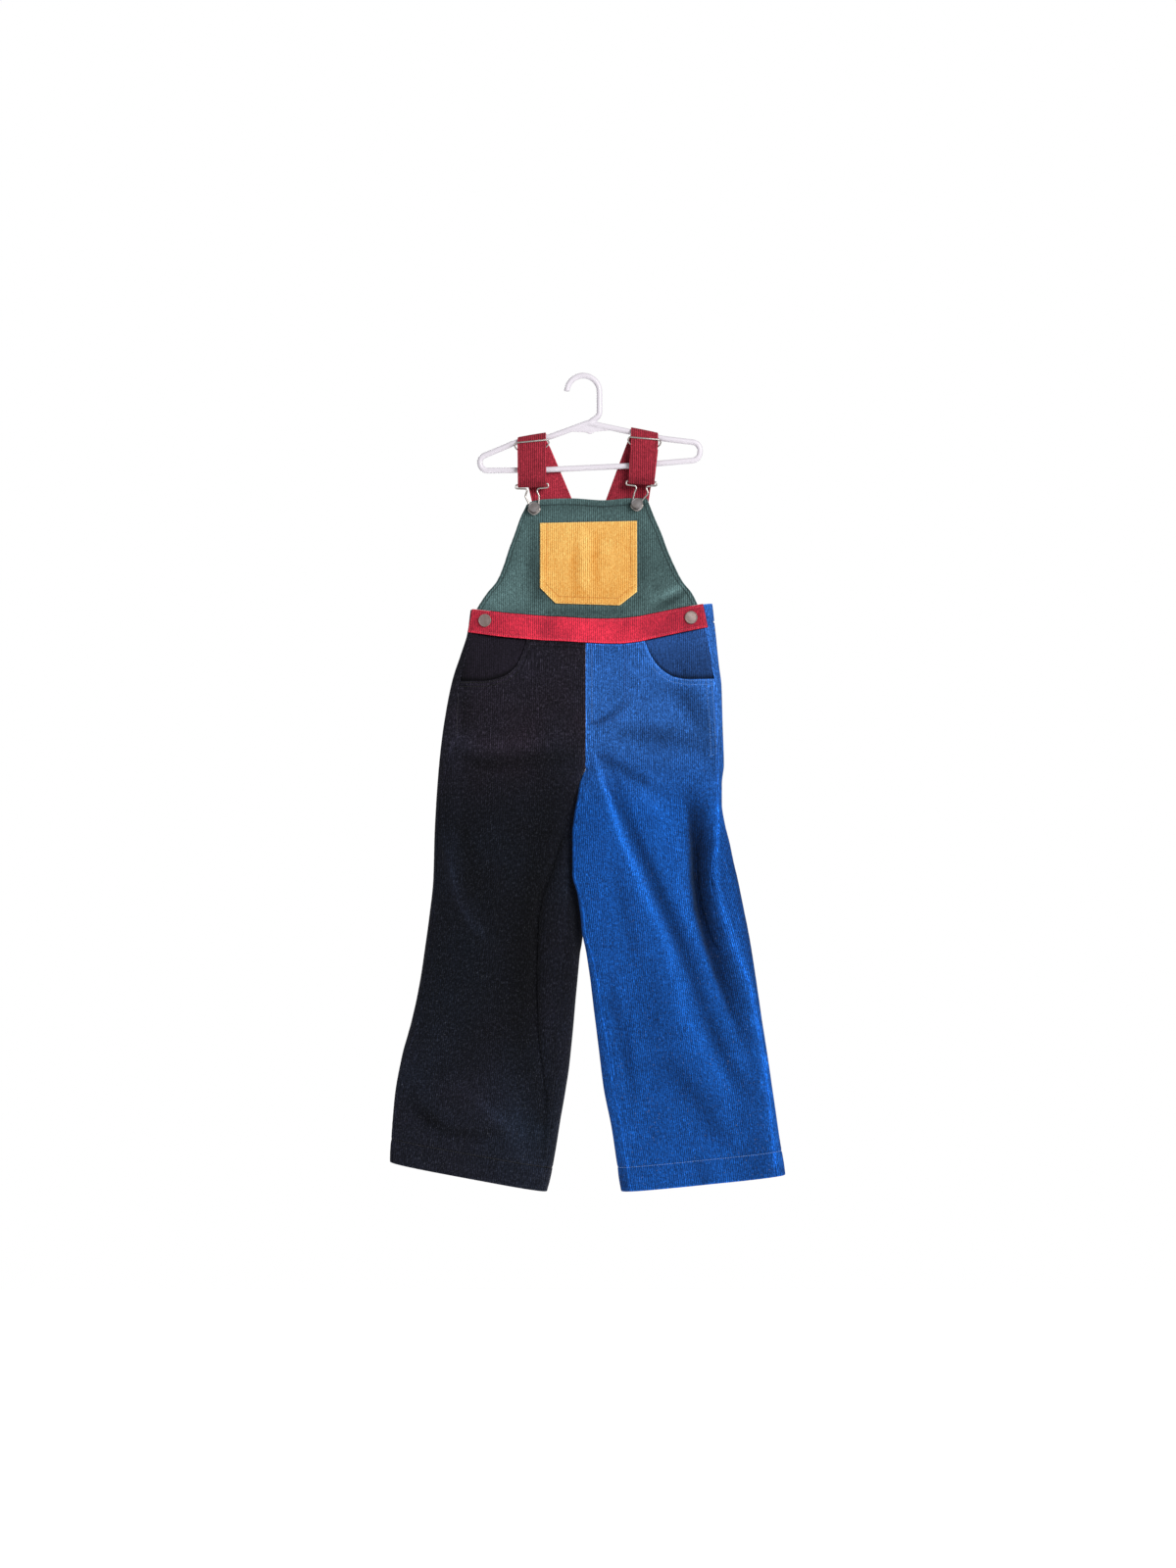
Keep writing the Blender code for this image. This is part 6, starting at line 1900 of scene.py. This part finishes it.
def add_web():
    """A thin plate with the arms' outline above and a small point below."""
    bpy.ops.object.select_all(action="DESELECT")
    corners = [(CENTRE_X + x, WEB_THICK / 2, z) for x, z in WEB]
    mesh = bpy.data.meshes.new("web_part")
    mesh.from_pydata([[c * METRES for c in p] for p in corners], [], [tuple(range(len(corners)))])
    piece = bpy.data.objects.new("web_part", mesh)
    bpy.context.scene.collection.objects.link(piece)
    only(piece)
    bpy.ops.object.mode_set(mode="EDIT")
    bpy.ops.mesh.select_all(action="SELECT")
    bpy.ops.mesh.extrude_region_move(TRANSFORM_OT_translate={"value": (0, -WEB_THICK * METRES, 0)})
    bpy.ops.mesh.select_all(action="SELECT")
    bpy.ops.mesh.normals_make_consistent(inside=False)
    bpy.ops.object.mode_set(mode="OBJECT")
    return piece


class OVERALLS_OT_hanger(bpy.types.Operator):
    """White tubular hanger with its hook and the web between its arms"""
    bl_idname = "overalls.hanger"
    bl_label = "Hanger"

    def execute(self, context):
        settings = context.scene.overalls_hardware
        ring = [(CENTRE_X + p.x, 0, p.y) for p in rounded(FRAME_CORNERS, True, 5.0)]
        parts = [wire("hanger_plastic", ring, HANGER_TUBE, True, 6),
                 wire("hook_part", hook_path(), HANGER_TUBE, False, 6), add_web()]
        only(parts[0])
        for part in parts:
            part.select_set(True)
        bpy.ops.object.join()
        piece = bpy.context.view_layer.objects.active
        skin = piece.modifiers.new("one skin", "REMESH")
        skin.mode = "VOXEL"
        skin.voxel_size = 0.8 * METRES
        skin.use_smooth_shade = True
        soften = piece.modifiers.new("soft corners", "SMOOTH")
        soften.factor = 0.5
        soften.iterations = 6
        bpy.ops.object.modifier_apply(modifier=skin.name)
        bpy.ops.object.modifier_apply(modifier=soften.name)
        piece.data.shade_smooth()
        finish_piece(piece, moulded_plastic("hanger_white", settings), ["hanger"])
        return {"FINISHED"}


# ---- stage

def add_floor(height):
    """A pale floor that glows a little."""
    bpy.ops.object.select_all(action="DESELECT")
    bpy.ops.mesh.primitive_plane_add(size=FLOOR_SIZE, location=(0, 0.3, height))
    floor = bpy.context.object
    floor.name = "floor"
    bpy.ops.object.transform_apply(location=True, rotation=True, scale=True)
    finish = Finish("pale_floor")
    mottle = finish.noise(finish.place(), 3.0, 2.0)
    floor.data.materials.append(finish.surface(
        Base_Color=finish.scaled((0.9, 0.9, 0.9), mottle * 0.03 + 1.0), Roughness=0.8,
        Emission_Color=(1, 1, 1, 1), Emission_Strength=FLOOR_GLOW))


def add_daylight(scene):
    """White behind the object, and a softer, slightly cool light all round it."""
    world = bpy.data.worlds.new("daylight")
    world.use_nodes = True
    scene.world = world
    tree = world.node_tree
    tree.nodes.clear()
    rays = tree.nodes.new("ShaderNodeLightPath")
    chosen = tree.nodes.new("ShaderNodeMixShader")
    output = tree.nodes.new("ShaderNodeOutputWorld")
    tree.links.new(rays.outputs["Is Camera Ray"], chosen.inputs[0])
    for socket, (colour, strength) in zip(chosen.inputs[1:], DAYLIGHT):
        light = tree.nodes.new("ShaderNodeBackground")
        light.inputs["Color"].default_value = colour
        light.inputs["Strength"].default_value = strength
        tree.links.new(light.outputs[0], socket)
    tree.links.new(chosen.outputs[0], output.inputs["Surface"])


def add_lamp(name, place, power, size):
    """A square lamp that faces the garment."""
    light = bpy.data.lights.new(name, "AREA")
    light.energy = power
    light.size = size
    lamp = bpy.data.objects.new(name, light)
    lamp.location = place
    aim = Vector(LAMP_AIM) - Vector(place)
    lamp.rotation_euler = aim.to_track_quat("-Z", "Y").to_euler()
    bpy.context.scene.collection.objects.link(lamp)


class OVERALLS_OT_stage(bpy.types.Operator):
    """Pale floor, soft daylight from the right, and the camera straight in front"""
    bl_idname = "overalls.stage"
    bl_label = "Stage"

    def execute(self, context):
        settings = context.scene.overalls_stage
        scene = context.scene
        scene.view_settings.view_transform = "Standard"
        lowest = CAD_BOUNDS[0][2]
        add_floor(lowest - settings.floor_drop)
        add_daylight(scene)
        powers = {"key": settings.key_power, "fill": settings.fill_power,
                  "back": settings.back_power}
        for name, (place, size) in LAMPS.items():
            add_lamp(name, place, powers[name], size)
        camera = bpy.data.cameras.new("front")
        camera.lens = LENS_MM
        camera.sensor_width = SENSOR_MM
        viewer = bpy.data.objects.new("front", camera)
        x, y, z = CAMERA_START
        viewer.location = (x, y - settings.camera_distance, z)
        viewer.rotation_euler = (math.radians(90), 0, 0)
        scene.collection.objects.link(viewer)
        scene.camera = viewer
        return {"FINISHED"}


# ---- add-on

STEPS = (
    OVERALLS_OT_hanger, OVERALLS_OT_straps, OVERALLS_OT_buckles_and_sliders,
    OVERALLS_OT_bib, OVERALLS_OT_back_yoke, OVERALLS_OT_waistband,
    OVERALLS_OT_pocket_facings, OVERALLS_OT_trouser_fronts, OVERALLS_OT_trouser_backs,
    OVERALLS_OT_buttons, OVERALLS_OT_stage)


class OVERALLS_PT_pieces(bpy.types.Panel):
    """Every piece of the overalls, with the sizes and colours behind them"""
    bl_idname = "OVERALLS_PT_pieces"
    bl_label = "Bib Overalls"
    bl_space_type = "VIEW_3D"
    bl_region_type = "UI"
    bl_category = "Overalls"

    def draw(self, context):
        layout = self.layout
        scene = context.scene
        for group in (scene.overalls_cloth, scene.overalls_hardware, scene.overalls_stage):
            box = layout.box()
            for name in group.bl_rna.properties.keys():
                if name not in ("rna_type", "name"):
                    box.prop(group, name)
        for step in STEPS:
            layout.operator(step.bl_idname)


GROUPS = {
    "overalls_cloth": ClothSettings,
    "overalls_hardware": HardwareSettings,
    "overalls_stage": StageSettings, }


def register():
    for name, group in GROUPS.items():
        bpy.utils.register_class(group)
        setattr(bpy.types.Scene, name, bpy.props.PointerProperty(type=group))
    for step in STEPS:
        bpy.utils.register_class(step)
    bpy.utils.register_class(OVERALLS_PT_pieces)


def unregister():
    bpy.utils.unregister_class(OVERALLS_PT_pieces)
    for step in reversed(STEPS):
        bpy.utils.unregister_class(step)
    for name, group in GROUPS.items():
        delattr(bpy.types.Scene, name)
        bpy.utils.unregister_class(group)


def main():
    register()
    bpy.ops.overalls.hanger()
    bpy.ops.overalls.straps()
    bpy.ops.overalls.buckles_and_sliders()
    bpy.ops.overalls.bib()
    bpy.ops.overalls.back_yoke()
    bpy.ops.overalls.waistband()
    bpy.ops.overalls.pocket_facings()
    bpy.ops.overalls.trouser_fronts()
    bpy.ops.overalls.trouser_backs()
    bpy.ops.overalls.buttons()
    bpy.ops.overalls.stage()


if __name__ == "__main__":
    main()
